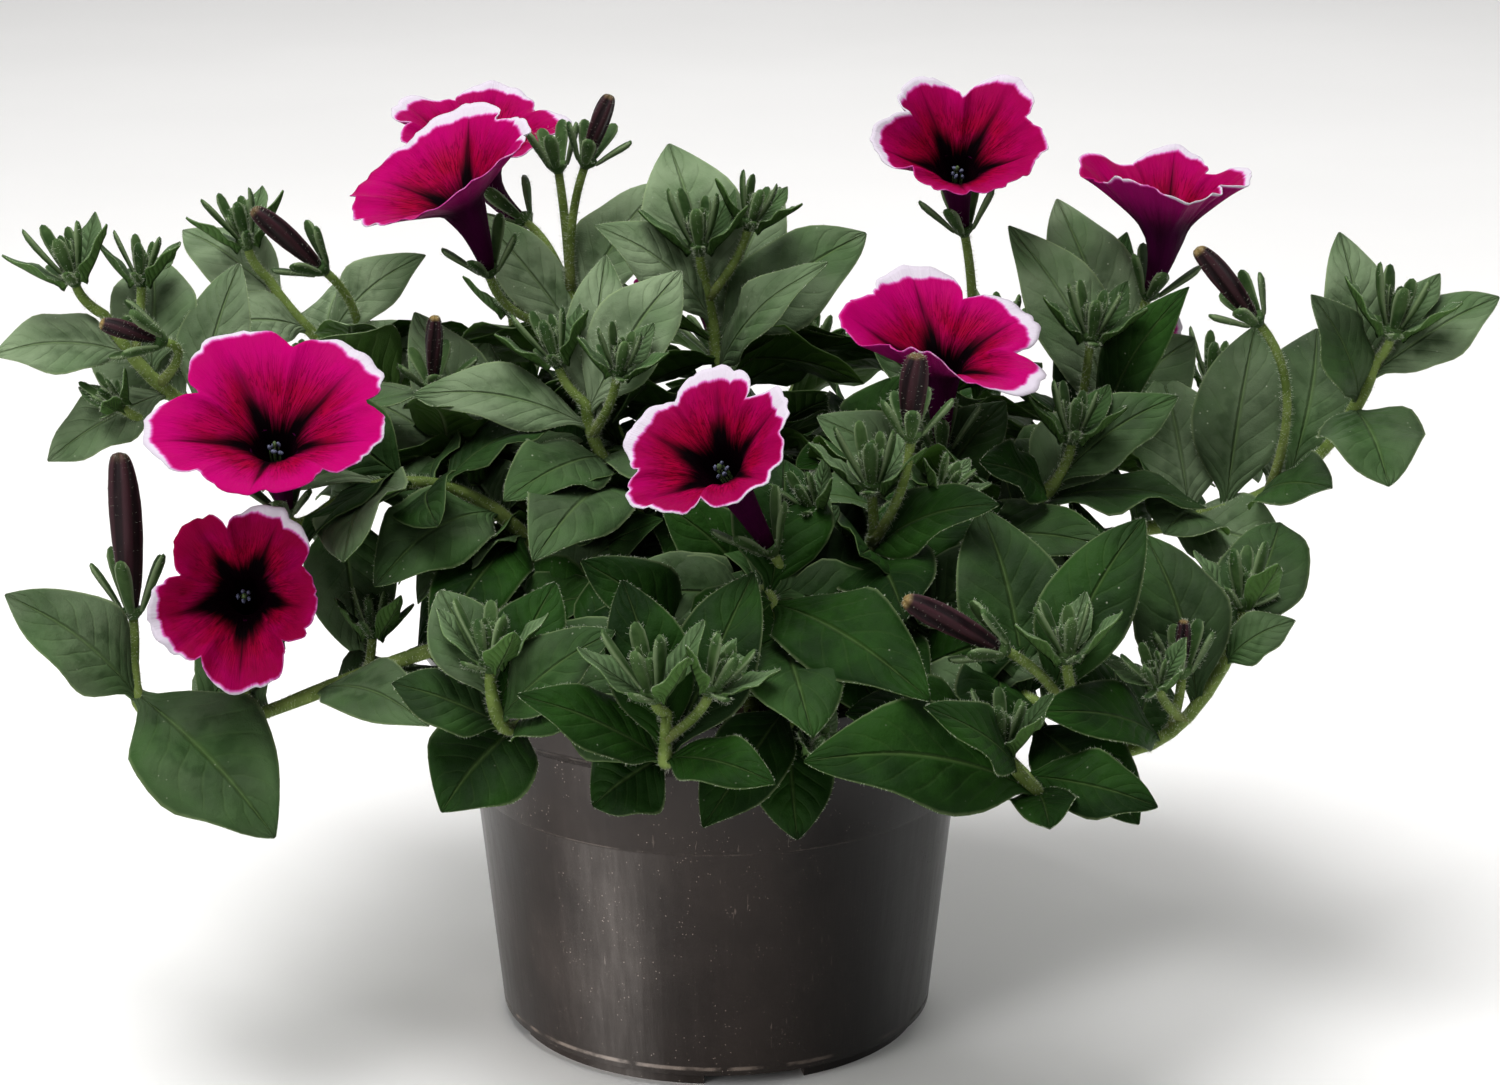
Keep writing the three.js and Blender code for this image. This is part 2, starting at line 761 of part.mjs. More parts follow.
// How many corners of a triangle lie on the points from low to high.
function onRings(face, low, high) {
  return face.filter((corner) => corner >= low && corner < high).length;
}

function middleOf(model, face) {
  return face.reduce((sum, corner) => sum.add(model.points[corner]), new THREE.Vector3())
    .divideScalar(3);
}

// The way that leans from an axis towards the middle of a triangle.
function wayOut(model, face, centre, axis, lean) {
  const [outward] = across(axis, middleOf(model, face).sub(centre));
  return axis.clone().multiplyScalar(Math.cos(rad(lean)))
    .addScaledVector(outward, Math.sin(rad(lean)));
}

// Ends a stalk with the cup and the sepals that hold a bud or a corolla.
function calyxOn(rings, { base, axis, spread, length }) {
  const outer = nextRing(rings[rings.length - 1], axis, CUP_HEIGHT, CUP_RADIUS);
  const inner = nextRing(outer, axis, 0, CUP_RADIUS * CUP_HOLLOW);
  const model = shell([...rings, outer, inner]);
  const first = rings.length * STEM_SIDES;
  const second = first + STEM_SIDES;
  const rooms = model.faces.filter((face) => (
    onRings(face, first, second) === 2 && onRings(face, second, second + STEM_SIDES) === 1
  ));
  rooms.forEach((face, i) => {
    const reach = length * (i % 2 ? SHORT_SEPAL_SHARE : 1);
    growFinger(model, face, wayOut(model, face, base, axis, spread), reach, SEPAL_WIDTH);
  });
  return model;
}

// Ends a stalk with a shoot tip: a whorl of finger-like young sepals above small leaves.
function shootOn(rings, { neck, axis, size }) {
  const [rise, radius] = SHOOT_CUP;
  const wide = nextRing(rings[rings.length - 1], axis, rise * size, radius * size);
  const apex = neck.clone().addScaledVector(axis, SHOOT_APEX * size);
  const model = shell([...rings, wide, [apex]]);
  const low = rings.length * STEM_SIDES;
  const last = low + STEM_SIDES;
  const upper = model.faces.filter((face) => face.includes(last));
  const lower = model.faces.filter((face) => !face.includes(last) && onRings(face, low, last) === 2);
  upper.forEach((face, i) => {
    const way = wayOut(model, face, neck, axis, FINGER_LEAN[0] + FINGER_LEAN[1] * (i % 3));
    const length = FINGER_LENGTH[0] + FINGER_LENGTH[1] * (i % 3);
    growFinger(model, face, way, length * size, FINGER_WIDTH * size);
  });
  lower.filter((face, i) => i % 2 === 0).forEach((face) => {
    const way = wayOut(model, face, neck, axis, YOUNG_LEAF_LEAN);
    growLeaf(model, face, low, axis, way, YOUNG_LEAF[0] * size, YOUNG_LEAF[1] * size);
  });
  return model;
}

// Where the throat of a bloom lies, how its tube bends to it and which way its calyx points.
function bloomAxes(bloom) {
  const normal = heading(bloom.face[0], bloom.face[1]);
  const base = vec(bloom.calyx);
  const throat = vec(bloom.rim).addScaledVector(normal, -bloom.cup);
  const bend = throat.clone().addScaledVector(normal, -STALK_BEND * throat.distanceTo(base));
  const axis = bend.clone().sub(base).normalize();
  return { normal, base, throat, bend, axis };
}

// One corolla: a tube, a funnel and five notched lobes, open at the throat.
function corolla(bloom) {
  const { normal, base, throat, bend, axis } = bloomAxes(bloom);
  const [first, second] = across(normal, UP);
  const foot = base.clone().addScaledVector(axis, SEAT_GAP);
  const path = new THREE.QuadraticBezierCurve3(foot, bend, throat);
  const radius = bloom.across / 2;
  const ring = (centre, spot) => {
    const points = [];
    for (let lobe = 0; lobe < LOBES; lobe += 1) {
      LOBE_ANGLES.forEach((angle, i) => {
        const turn = rad(bloom.turn + lobe * 72 + angle);
        const { reach, height } = spot(i === 0, lobe);
        points.push(centre.clone()
          .addScaledVector(first, reach * Math.cos(turn))
          .addScaledVector(second, reach * Math.sin(turn))
          .addScaledVector(normal, height));
      });
    }
    return points;
  };
  const round = (reach, height = 0) => () => ({ reach, height });
  const edge = (lift) => (isNotch, lobe) => ({
    reach: radius * (isNotch ? NOTCH_DEPTH : 1),
    height: bloom.cup + lift + (isNotch ? 0 : bloom.curls[lobe]),
  });
  const halfReach = (THROAT_RADIUS + radius) / 2;
  const halfHeight = bloom.cup * FUNNEL_HEIGHT;
  const footRing = ring(foot, round(TUBE_RADIUS)).map((point) => {
    const offset = point.sub(foot);
    const share = offset.dot(axis);
    return foot.clone().add(offset.addScaledVector(axis, -share).setLength(TUBE_RADIUS));
  });
  return solid(shell([
    footRing,
    ring(path.getPoint(TUBE_WAIST[0]), round(TUBE_WAIST[1])),
    ring(throat, round(THROAT_RADIUS)),
    ring(throat, round(halfReach, halfHeight)),
    ring(throat, edge(0)),
    ring(throat, edge(PETAL_WALL)),
    ring(throat, round(halfReach - PETAL_WALL / 2, halfHeight + PETAL_WALL)),
    ring(throat, round(THROAT_RADIUS - PETAL_WALL, PETAL_WALL)),
    [path.getPoint(TUBE_BOTTOM)],
  ]));
}

// Closed bud with pleats along its length.
function budSolid(bud) {
  const tip = vec(bud.tip);
  const axis = tip.clone().sub(vec(bud.calyx)).normalize();
  const foot = vec(bud.calyx).addScaledVector(axis, SEAT_GAP);
  const [first, second] = across(axis, UP);
  const length = tip.distanceTo(foot);
  const rings = BUD_OUTLINE.map(([share, swell]) => {
    const ring = [];
    for (let j = 0; j < BUD_SIDES; j += 1) {
      const turn = (2 * Math.PI * j) / BUD_SIDES + share;
      const reach = Math.min(bud.radius * swell, TUBE_RADIUS + BUD_FLARE * share);
      ring.push(foot.clone().addScaledVector(axis, share * length)
        .addScaledVector(first, reach * (j % 2 ? BUD_PLEAT : 1) * Math.cos(turn))
        .addScaledVector(second, reach * (j % 2 ? BUD_PLEAT : 1) * Math.sin(turn)));
    }
    return ring;
  });
  rings.push([tip]);
  return solid(shell(rings));
}

function potSolid() {
  const floorTop = FOOT_HEIGHT + POT_FLOOR;
  const footInside = FOOT_RADIUS - FOOT_WALL;
  let pot = lathe([
    [0, 0], [BOSS_RADIUS, 0], [BOSS_RADIUS, FOOT_HEIGHT],
    [footInside, FOOT_HEIGHT], [footInside, 0], [FOOT_RADIUS, 0],
    [FOOT_RADIUS + BAND_STEP, FOOT_HEIGHT - BAND_STEP],
    [WALL_FOOT_RADIUS, FOOT_HEIGHT - BAND_STEP],
    [BAND_RADIUS, BAND_HEIGHT], [BAND_RADIUS + BAND_STEP, BAND_HEIGHT + 1],
    [SHOULDER_RADIUS, SHOULDER_HEIGHT], [COLLAR_RADIUS, COLLAR_HEIGHT],
    [COLLAR_RADIUS + COLLAR_FLARE, LIP_HEIGHT - LIP_THICKNESS - BAND_STEP],
    [LIP_RADIUS, LIP_HEIGHT - LIP_THICKNESS],
    [LIP_RADIUS, LIP_HEIGHT - LIP_ROUND], [LIP_RADIUS - LIP_ROUND, LIP_HEIGHT],
    [COLLAR_RADIUS + 1, LIP_HEIGHT], [COLLAR_RADIUS - POT_WALL, COLLAR_HEIGHT + 1],
    [SHOULDER_RADIUS - POT_WALL, SHOULDER_HEIGHT + 1], [BAND_RADIUS - POT_WALL, BAND_HEIGHT],
    [WALL_FOOT_RADIUS - POT_WALL, floorTop], [0, floorTop],
  ], POT_SIDES);
  for (let i = 0; i < NOTCHES; i += 1) {
    const notch = new THREE.BoxGeometry(NOTCH_DEPTH_IN, NOTCH_WIDTH, 2 * NOTCH_HEIGHT);
    notch.translate(FOOT_RADIUS, 0, 0);
    notch.rotateZ(rad(NOTCH_TURN + (360 * i) / NOTCHES));
    pot = pot.subtract(solidFrom(notch));
  }
  for (let i = 0; i < DRAINS; i += 1) {
    const turn = rad((360 * i) / DRAINS);
    const x = DRAIN_RING * Math.cos(turn);
    const y = DRAIN_RING * Math.sin(turn);
    pot = pot.subtract(rod(DRAIN_RADIUS, FOOT_HEIGHT - 1, floorTop + 1, DRAIN_SIDES, x, y));
  }
  return pot;
}

function mixSolid() {
  const inside = POT_WALL + FIT;
  let mix = lathe([
    [0, FOOT_HEIGHT + POT_FLOOR + FIT],
    [WALL_FOOT_RADIUS - inside, FOOT_HEIGHT + POT_FLOOR + FIT],
    [BAND_RADIUS - inside, BAND_HEIGHT],
    [SHOULDER_RADIUS - inside, SHOULDER_HEIGHT + MIX_STEP],
    [COLLAR_RADIUS - inside, COLLAR_HEIGHT + MIX_STEP],
    [COLLAR_RADIUS - inside, MIX_TOP],
    [COLLAR_RADIUS * MIX_SHOULDER, MIX_TOP + MIX_MOUND / 5],
    [0, MIX_TOP + MIX_MOUND],
  ], MIX_SIDES);
  for (const stem of Object.values(LEAFY_STEMS)) {
    const [x, y] = stem.root;
    const above = MIX_TOP + 2 * MIX_MOUND;
    mix = mix.subtract(rod(HOLE_RADIUS, MIX_TOP - HOLE_DEPTH, above, HOLE_SIDES, x, y));
  }
  return mix;
}

// Leaves that the rule places along a stem, alternately to its left and right.
function ruledLeaves(stem, order) {
  const flat = new THREE.Vector3(stem.tip[0] - stem.root[0], stem.tip[1] - stem.root[1], 0);
  const course = THREE.MathUtils.radToDeg(Math.atan2(flat.y, flat.x));
  const leaves = [];
  for (let k = 0; k < stem.fill; k += 1) {
    const draw = (order * STEM_DRAW + k * GOLDEN) % 1;
    const place = FILL_PLACES[0] + (FILL_PLACES[1] * (k + 0.5)) / stem.fill;
    const turn = (k % 2 ? 1 : -1) * (FILL_TURN[0] + FILL_TURN[1] * draw);
    const length = FILL_LENGTH[0] + FILL_LENGTH[1] * ((draw * 7) % 1);
    const slope = FILL_SLOPE[0] + FILL_SLOPE[1] * ((draw * 3) % 1);
    const direction = heading(course + turn, slope);
    const base = pointOn(stem, place);
    const tip = base.clone().addScaledVector(direction, length);
    const facing = new THREE.Vector3(base.x, base.y, 0).setLength(Math.sin(rad(LEAF_LEAN)));
    facing.z = Math.cos(rad(LEAF_LEAN));
    leaves.push({ base, tip, facing, width: length * FILL_WIDTH });
  }
  return leaves;
}

// What ends in a calyx or a shoot tip on a stem: where it starts, its neck and its direction.
function endingsOf(name, stem) {
  const calyxAt = (entry, base, axis, spread, length) => {
    const neck = base.clone().addScaledVector(axis, -CUP_HEIGHT);
    return { at: entry.at, neck, axis, base, spread, length, build: calyxOn };
  };
  const endings = [];
  for (const bloom of Object.values(BLOOMS).filter((entry) => entry.stem === name)) {
    const { base, axis } = bloomAxes(bloom);
    endings.push(calyxAt(bloom, base, axis, SEPAL_SPREAD, SEPAL_LENGTH));
  }
  for (const bud of [...Object.values(BUDS), SPENT_CALYX].filter((entry) => entry.stem === name)) {
    const base = vec(bud.calyx);
    const axis = vec(bud.tip).sub(base).normalize();
    endings.push(calyxAt(bud, base, axis, bud.spread, SEPAL_LENGTH * BUD_SEPAL_SHARE));
  }
  for (const [at, x, y, z, size] of stem.shoots) {
    const end = new THREE.Vector3(x, y, z);
    const axis = end.clone().sub(pointOn(stem, at)).normalize();
    axis.addScaledVector(UP, SHOOT_RISE).normalize();
    const neck = end.clone().addScaledVector(axis, -SHOOT_DEPTH * size);
    endings.push({ at, neck, axis, size, build: shootOn });
  }
  return endings;
}

// The stem with all that is grown on it except its leaves. Its own end is the first piece.
function stemPieces(name, stem) {
  const pieces = [];
  for (const ending of endingsOf(name, stem)) {
    const start = pointOn(stem, ending.at);
    const points = stalkPoints(start, ending.neck, ending.axis);
    const radii = points.map(() => STALK_RADIUS);
    const alone = solid(ending.build(ringsAlong(points, radii, STEM_SIDES), ending));
    if (ending.at === 1) {
      const path = [...stemPoints(stem), ...points.slice(1)];
      const widths = [...stemRadii(), ...radii.slice(1)];
      const whole = solid(ending.build(ringsAlong(path, widths, STEM_SIDES), ending));
      pieces.unshift({ piece: whole, obstacle: alone });
    } else {
      pieces.push({ piece: alone, obstacle: alone });
    }
  }
  if (SPENT_CALYX.stem === name) {
    const tip = vec(SPENT_CALYX.tip);
    const axis = tip.clone().sub(vec(SPENT_CALYX.calyx)).normalize();
    const low = vec(SPENT_CALYX.calyx).addScaledVector(axis, -1);
    const radii = [CAPSULE_RADIUS, CAPSULE_RADIUS];
    const capsule = solid(shell(ringsAlong([low, tip], radii, CAPSULE_SIDES)));
    pieces.push({ piece: capsule, obstacle: capsule });
  }
  return pieces;
}

function boxOf(piece) {
  const { min, max } = piece.boundingBox();
  return new THREE.Box3(new THREE.Vector3(...min), new THREE.Vector3(...max));
}

// Fixed solids and the leaves placed so far, which a new leaf must stay clear of.
function makeSpace() {
  const entries = [];
  return {
    add(piece, owner) {
      entries.push({ piece, owner, box: boxOf(piece) });
    },
    isFree(test, skipped) {
      const box = boxOf(test);
      return !entries.some((entry) => !skipped.includes(entry.owner)
        && entry.box.intersectsBox(box)
        && entry.piece.intersect(test).volume() > SMALLEST_OVERLAP);
    },
  };
}

// The first place that a leaf may take clear of everything else, or none.
function settle(leaf, turns, lifts, owner, space) {
  for (const choice of choices(leaf, turns, lifts)) {
    const whole = blade(choice, CLEARANCE, ROOT_SHARE);
    const outer = blade(choice, CLEARANCE, STALK_SHARE);
    if (space.isFree(whole, [owner, `${owner} shoot`]) && space.isFree(outer, [owner])) {
      return choice;
    }
  }
  return null;
}

// One solid of pieces that grow into each other.
function fused(pieces) {
  const whole = pieces.reduce((sum, piece) => sum.add(piece));
  const parts = whole.decompose();
  parts.sort((a, b) => b.volume() - a.volume());
  return parts[0];
}

function meshOf(name, piece, material) {
  const { vertProperties, triVerts } = piece.getMesh();
  const geometry = new THREE.BufferGeometry();
  geometry.setAttribute("position", new THREE.BufferAttribute(Float32Array.from(vertProperties), 3));
  geometry.setIndex(new THREE.BufferAttribute(Uint32Array.from(triVerts), 1));
  geometry.computeVertexNormals();
  const mesh = new THREE.Mesh(geometry, material);
  mesh.name = name;
  return mesh;
}

function matter(color, roughness) {
  return new THREE.MeshStandardMaterial({ color, roughness, metalness: 0, side: THREE.FrontSide });
}

const plant = new THREE.Group();
const space = makeSpace();

const pot = potSolid();
const mix = mixSolid();
space.add(pot, "pot");
space.add(mix, "potting_mix");
plant.add(meshOf("pot", pot, matter(0x2f2825, 0.35)));
plant.add(meshOf("potting_mix", mix, matter(0x1f1712, 0.95)));

for (const [name, bloom] of Object.entries(BLOOMS)) {
  const piece = corolla(bloom);
  space.add(piece, name);
  plant.add(meshOf(name, piece, matter(0xb3125c, 0.55)));
}
for (const [name, bud] of Object.entries(BUDS)) {
  const piece = budSolid(bud);
  space.add(piece, name);
  plant.add(meshOf(name, piece, matter(0x3a1b28, 0.6)));
}

const grown = new Map();
for (const [name, stem] of Object.entries(LEAFY_STEMS)) {
  const pieces = stemPieces(name, stem);
  grown.set(name, pieces.map((entry) => entry.piece));
  space.add(pieces[0].piece, name);
  pieces.forEach((entry) => space.add(entry.obstacle, `${name} shoot`));
}

// Hand-placed leaves take their places first, then those that the rule places.
function placeLeaves(name, leaves, turns, lifts) {
  for (const leaf of leaves) {
    const choice = settle(leaf, turns, lifts, name, space);
    if (choice) {
      grown.get(name).push(blade(choice));
      space.add(blade(choice, 0, ROOT_SHARE), `${name} leaf`);
    }
  }
}
for (const [name, stem] of Object.entries(LEAFY_STEMS)) {
  const leaves = stem.leaves.map(([place, x, y, z, width]) => ({
    base: pointOn(stem, place), tip: new THREE.Vector3(x, y, z), facing: vec(LEAF_FACING), width,
  }));
  placeLeaves(name, leaves, HAND_TURNS, HAND_LIFTS);
}
Object.entries(LEAFY_STEMS).forEach(([name, stem], order) => {
  placeLeaves(name, ruledLeaves(stem, order), FILL_TURNS, FILL_LIFTS);
});
for (const [name, pieces] of grown) {
  plant.add(meshOf(name, fused(pieces), matter(0x3f5d3c, 0.7)));
}

export default plant;
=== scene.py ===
import math
from itertools import product
import bpy
import numpy as np
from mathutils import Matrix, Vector
from mathutils.bvhtree import BVHTree


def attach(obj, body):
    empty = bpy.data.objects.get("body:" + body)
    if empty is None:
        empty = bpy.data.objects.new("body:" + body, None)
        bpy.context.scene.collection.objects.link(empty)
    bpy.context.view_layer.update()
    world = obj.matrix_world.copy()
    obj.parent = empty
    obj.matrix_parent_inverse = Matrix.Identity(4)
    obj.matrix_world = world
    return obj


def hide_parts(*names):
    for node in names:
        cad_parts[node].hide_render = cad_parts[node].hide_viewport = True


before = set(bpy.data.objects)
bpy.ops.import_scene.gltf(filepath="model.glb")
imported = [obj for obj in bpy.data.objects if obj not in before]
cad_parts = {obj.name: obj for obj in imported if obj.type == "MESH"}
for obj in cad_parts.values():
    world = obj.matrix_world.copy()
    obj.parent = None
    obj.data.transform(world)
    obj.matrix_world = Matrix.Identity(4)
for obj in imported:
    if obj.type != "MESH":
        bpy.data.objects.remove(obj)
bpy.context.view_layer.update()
bpy.ops.object.select_all(action="DESELECT")
mm = 0.001
upward = np.array((0.0, 0.0, 1.0))
print("frame loaded")

# camera in front of the plant and a little above it, all in mm
cameraView = {"aim": (8.6, 0, 123), "distance": 1000, "pitch": 17, "lens": 96.6, "sensor": 36, "near": 50}
pitch = math.radians(cameraView["pitch"])
aimX, aimY, aimZ = cameraView["aim"]
cameraY = aimY - cameraView["distance"] * math.cos(pitch)
cameraZ = aimZ + cameraView["distance"] * math.sin(pitch)
bpy.ops.object.camera_add(location=(aimX * mm, cameraY * mm, cameraZ * mm),
                          rotation=(math.pi / 2 - pitch, 0, 0))
camera = bpy.context.object
camera.name = "photo_camera"
camera.data.lens = cameraView["lens"]
camera.data.sensor_width = cameraView["sensor"]
camera.data.clip_start = cameraView["near"] * mm
bpy.context.scene.camera = camera


# directions, curves and soft steps

def vec(*numbers):
    return np.array(numbers, dtype=float)


def unit(v):
    return v / np.linalg.norm(v)


def unitRows(rows):
    return rows / np.linalg.norm(rows, axis=1)[:, None]


def heading(azimuth, height):
    a, h = math.radians(azimuth), math.radians(height)
    return vec(math.cos(h) * math.cos(a), math.cos(h) * math.sin(a), math.sin(h))


def squareTo(direction, wanted, nearlyAlong=0.05):
    # two directions square to a third, the first as near to a wanted one as it can be
    first = wanted - direction * (wanted @ direction)
    if np.linalg.norm(first) < nearlyAlong:
        first = vec(1, 0, 0) - direction * direction[0]
    first = unit(first)
    return first, np.cross(direction, first)


def ringWays(turn, first, second):
    return np.outer(np.cos(turn), first) + np.outer(np.sin(turn), second)


def smooth(value, low, high):
    t = np.clip((value - low) / (high - low), 0, 1)
    return t * t * (3 - 2 * t)


def hump(away, height, width):
    return height * np.exp(-(away / width) ** 2)


def bezier(guides, shares):
    # a curve through its first and last guide, drawn towards those between
    t = np.atleast_1d(shares)[:, None]
    n = len(guides) - 1
    total = 0
    for k, guide in enumerate(guides):
        total = total + math.comb(n, k) * t ** k * (1 - t) ** (n - k) * guide
    return total


# modelling by hand, and bent copies of what is modelled

def setMode(mode):
    bpy.ops.object.mode_set(mode=mode)


def editAll():
    setMode("EDIT")
    bpy.ops.mesh.select_all(action="SELECT")


def facesOutward():
    bpy.ops.mesh.normals_make_consistent(inside=False)
    setMode("OBJECT")


def selectOnly(*pieces):
    if bpy.context.object and bpy.context.object.mode != "OBJECT":
        setMode("OBJECT")
    bpy.ops.object.select_all(action="DESELECT")
    for piece in pieces:
        piece.select_set(True)
    bpy.context.view_layer.objects.active = pieces[0]


def applyModifier(piece, kind, **settings):
    selectOnly(piece)
    modifier = piece.modifiers.new(kind.lower(), kind)
    for key, value in settings.items():
        setattr(modifier, key, value)
    bpy.ops.object.modifier_apply(modifier=modifier.name)


def pointsOf(mesh):
    points = np.empty(len(mesh.vertices) * 3)
    mesh.vertices.foreach_get("co", points)
    return points.reshape(-1, 3)


def takePattern(piece):
    # keeps the points and faces of a modelled shape, from which the copies are bent
    points = pointsOf(piece.data)
    faces = [tuple(face.vertices) for face in piece.data.polygons]
    bpy.data.objects.remove(piece)
    quads, tris = ([f for f in faces if len(f) == corners] for corners in (4, 3))
    return {"points": points, "quads": np.array(quads, dtype=int).reshape(-1, 4),
            "tris": np.array(tris, dtype=int).reshape(-1, 3)}


def startHeap():
    # lists of what a piece is made of, and of the places on it where hairs grow
    lists = "points quads tris quadSlots triSlots mark grain tubes fingers brims"
    return {"count": 0, **{key: [] for key in lists.split()}}


def pile(heap, points, form, slot=0, mark=(0, 0, 0), grain=(0, 0, 0)):
    # adds bent points with the faces of their form, surface marks and material to a piece
    count = len(points)
    heap["points"].append(points)
    for faces, slots in (("quads", "quadSlots"), ("tris", "triSlots")):
        heap[faces].append(form[faces] + heap["count"])
        heap[slots].append(np.full(len(form[faces]), slot))
    heap["mark"].append(np.broadcast_to(mark, (count, 3)))
    heap["grain"].append(np.broadcast_to(grain, (count, 3)))
    heap["count"] += count


def buildPiece(name, heap, materials):
    mesh = bpy.data.meshes.new(name)
    points = np.concatenate(heap["points"]) * mm
    quads = np.concatenate(heap["quads"])
    tris = np.concatenate(heap["tris"])
    sizes = np.concatenate((np.full(len(quads), 4), np.full(len(tris), 3)))
    corners = np.concatenate((quads.ravel(), tris.ravel()))
    slots = np.concatenate(heap["quadSlots"] + heap["triSlots"])
    mesh.vertices.add(len(points))
    mesh.vertices.foreach_set("co", points.ravel())
    mesh.loops.add(len(corners))
    mesh.loops.foreach_set("vertex_index", corners)
    mesh.polygons.add(len(sizes))
    mesh.polygons.foreach_set("loop_start", np.cumsum(sizes) - sizes)
    mesh.polygons.foreach_set("material_index", slots)
    mesh.polygons.foreach_set("use_smooth", np.ones(len(sizes), dtype=bool))
    mesh.update(calc_edges=True)
    for key in ("mark", "grain"):
        layer = mesh.attributes.new(key, "FLOAT_VECTOR", "POINT")
        layer.data.foreach_set("vector", np.concatenate(heap[key]).ravel())
    mesh.validate()
    for material in materials:
        mesh.materials.append(material)
    piece = bpy.data.objects.new(name, mesh)
    bpy.context.scene.collection.objects.link(piece)
    return piece


def standFor(piece, nodeName):
    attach(piece, "root")
    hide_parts(nodeName)


# shader nodes: a value is a number, a colour or the socket of another node

def startMaterial(name, specular, sheen=None, **values):
    # a new material with what is the same all over it, and the place on the piece
    material = bpy.data.materials.new(name)
    material.use_nodes = True
    shader = material.node_tree.nodes["Principled BSDF"]
    values["Specular IOR Level"] = specular
    if sheen:
        values["Sheen Weight"], values["Sheen Roughness"], tint = sheen
        values["Sheen Tint"] = (*tint, 1)
    for key, value in values.items():
        shader.inputs[key].default_value = value
    return material, shader, node(material.node_tree, "TexCoord").outputs["Object"]


def feed(socket, value):
    if isinstance(value, bpy.types.NodeSocket):
        socket.id_data.links.new(value, socket)
    else:
        socket.default_value = value


def node(tree, kind, inputs=None, **settings):
    new = tree.nodes.new("ShaderNode" + kind)
    for key, value in settings.items():
        setattr(new, key, value)
    for key, value in (inputs or {}).items():
        feed(new.inputs[key], value)
    return new


def calc(operation, *values):
    tree = next(value.id_data for value in values if isinstance(value, bpy.types.NodeSocket))
    return node(tree, "Math", dict(enumerate(values)), operation=operation).outputs[0]


def times(first, *others):
    for other in others:
        first = calc("MULTIPLY", first, other)
    return first


def plus(first, *others):
    for other in others:
        first = calc("ADD", first, other)
    return first


def minus(a, b):
    return calc("SUBTRACT", a, b)


def remap(value, low, high, toLow=0.0, toHigh=1.0):
    inputs = {"Value": value, "From Min": low, "From Max": high, "To Min": toLow, "To Max": toHigh}
    return node(value.id_data, "MapRange", inputs, interpolation_type="SMOOTHSTEP").outputs[0]


def noise(where, scale, detail=3.0, roughness=0.55):
    inputs = {"Vector": where, "Scale": scale, "Detail": detail, "Roughness": roughness}
    return node(where.id_data, "TexNoise", inputs).outputs[0]


def stretched(place, *scale):
    return node(place.id_data, "Mapping", {"Vector": place, "Scale": scale}).outputs[0]


def moved(place, by):
    return node(place.id_data, "VectorMath", {0: place, 1: by}, operation="ADD").outputs[0]


def specks(place, scale, outer, inner):
    # small round dots, one in each cell of a fine grain
    away = node(place.id_data, "TexVoronoi", {"Vector": place, "Scale": scale}).outputs["Distance"]
    return remap(away, outer, inner)


def blendColour(share, first, second):
    mix = node(share.id_data, "Mix", data_type="RGBA")
    for index, value in ((0, share), (6, first), (7, second)):
        feed(mix.inputs[index], (*value, 1.0) if isinstance(value, tuple) else value)
    return mix.outputs[2]


def lighter(level, colour):
    return node(colour.id_data, "HueSaturation", {"Value": level, "Color": colour}).outputs[0]


def surfaceMarks(shader, name):
    read = node(shader.id_data, "Attribute", attribute_name=name, attribute_type="GEOMETRY")
    return node(shader.id_data, "SeparateXYZ", {0: read.outputs["Vector"]}).outputs


def finish(shader, colour, rough, height=None, distance=0.0):
    feed(shader.inputs["Base Color"], colour)
    feed(shader.inputs["Roughness"], rough)
    if height is not None:
        bump = node(shader.id_data, "Bump", {"Height": height, "Distance": distance, "Strength": 1.0})
        feed(shader.inputs["Normal"], bump.outputs[0])


# the plant's finishes

leafLooks = {
    "dark": (0.0026, 0.0145, 0.0007), "middle": (0.0112, 0.044, 0.0036), "bloom": (0.112, 0.15, 0.086),
    "vein": (0.075, 0.125, 0.035), "underside": (0.035, 0.085, 0.01), "margin": (0.2, 0.26, 0.12),
    "grit": (0.32, 0.34, 0.26), "spot": (0.045, 0.03, 0.012), "young": (0.05, 0.1, 0.032),
    "sheen": (0.01, 0.4, (0.7, 0.9, 0.6)), "specular": 0.07, "relief": 0.0009,
    "veins": 8.0, "veinSlant": 2.1, "blotchShare": 0.42, "veinShare": 0.37, "marginAndRimLightShare": 0.34,
}


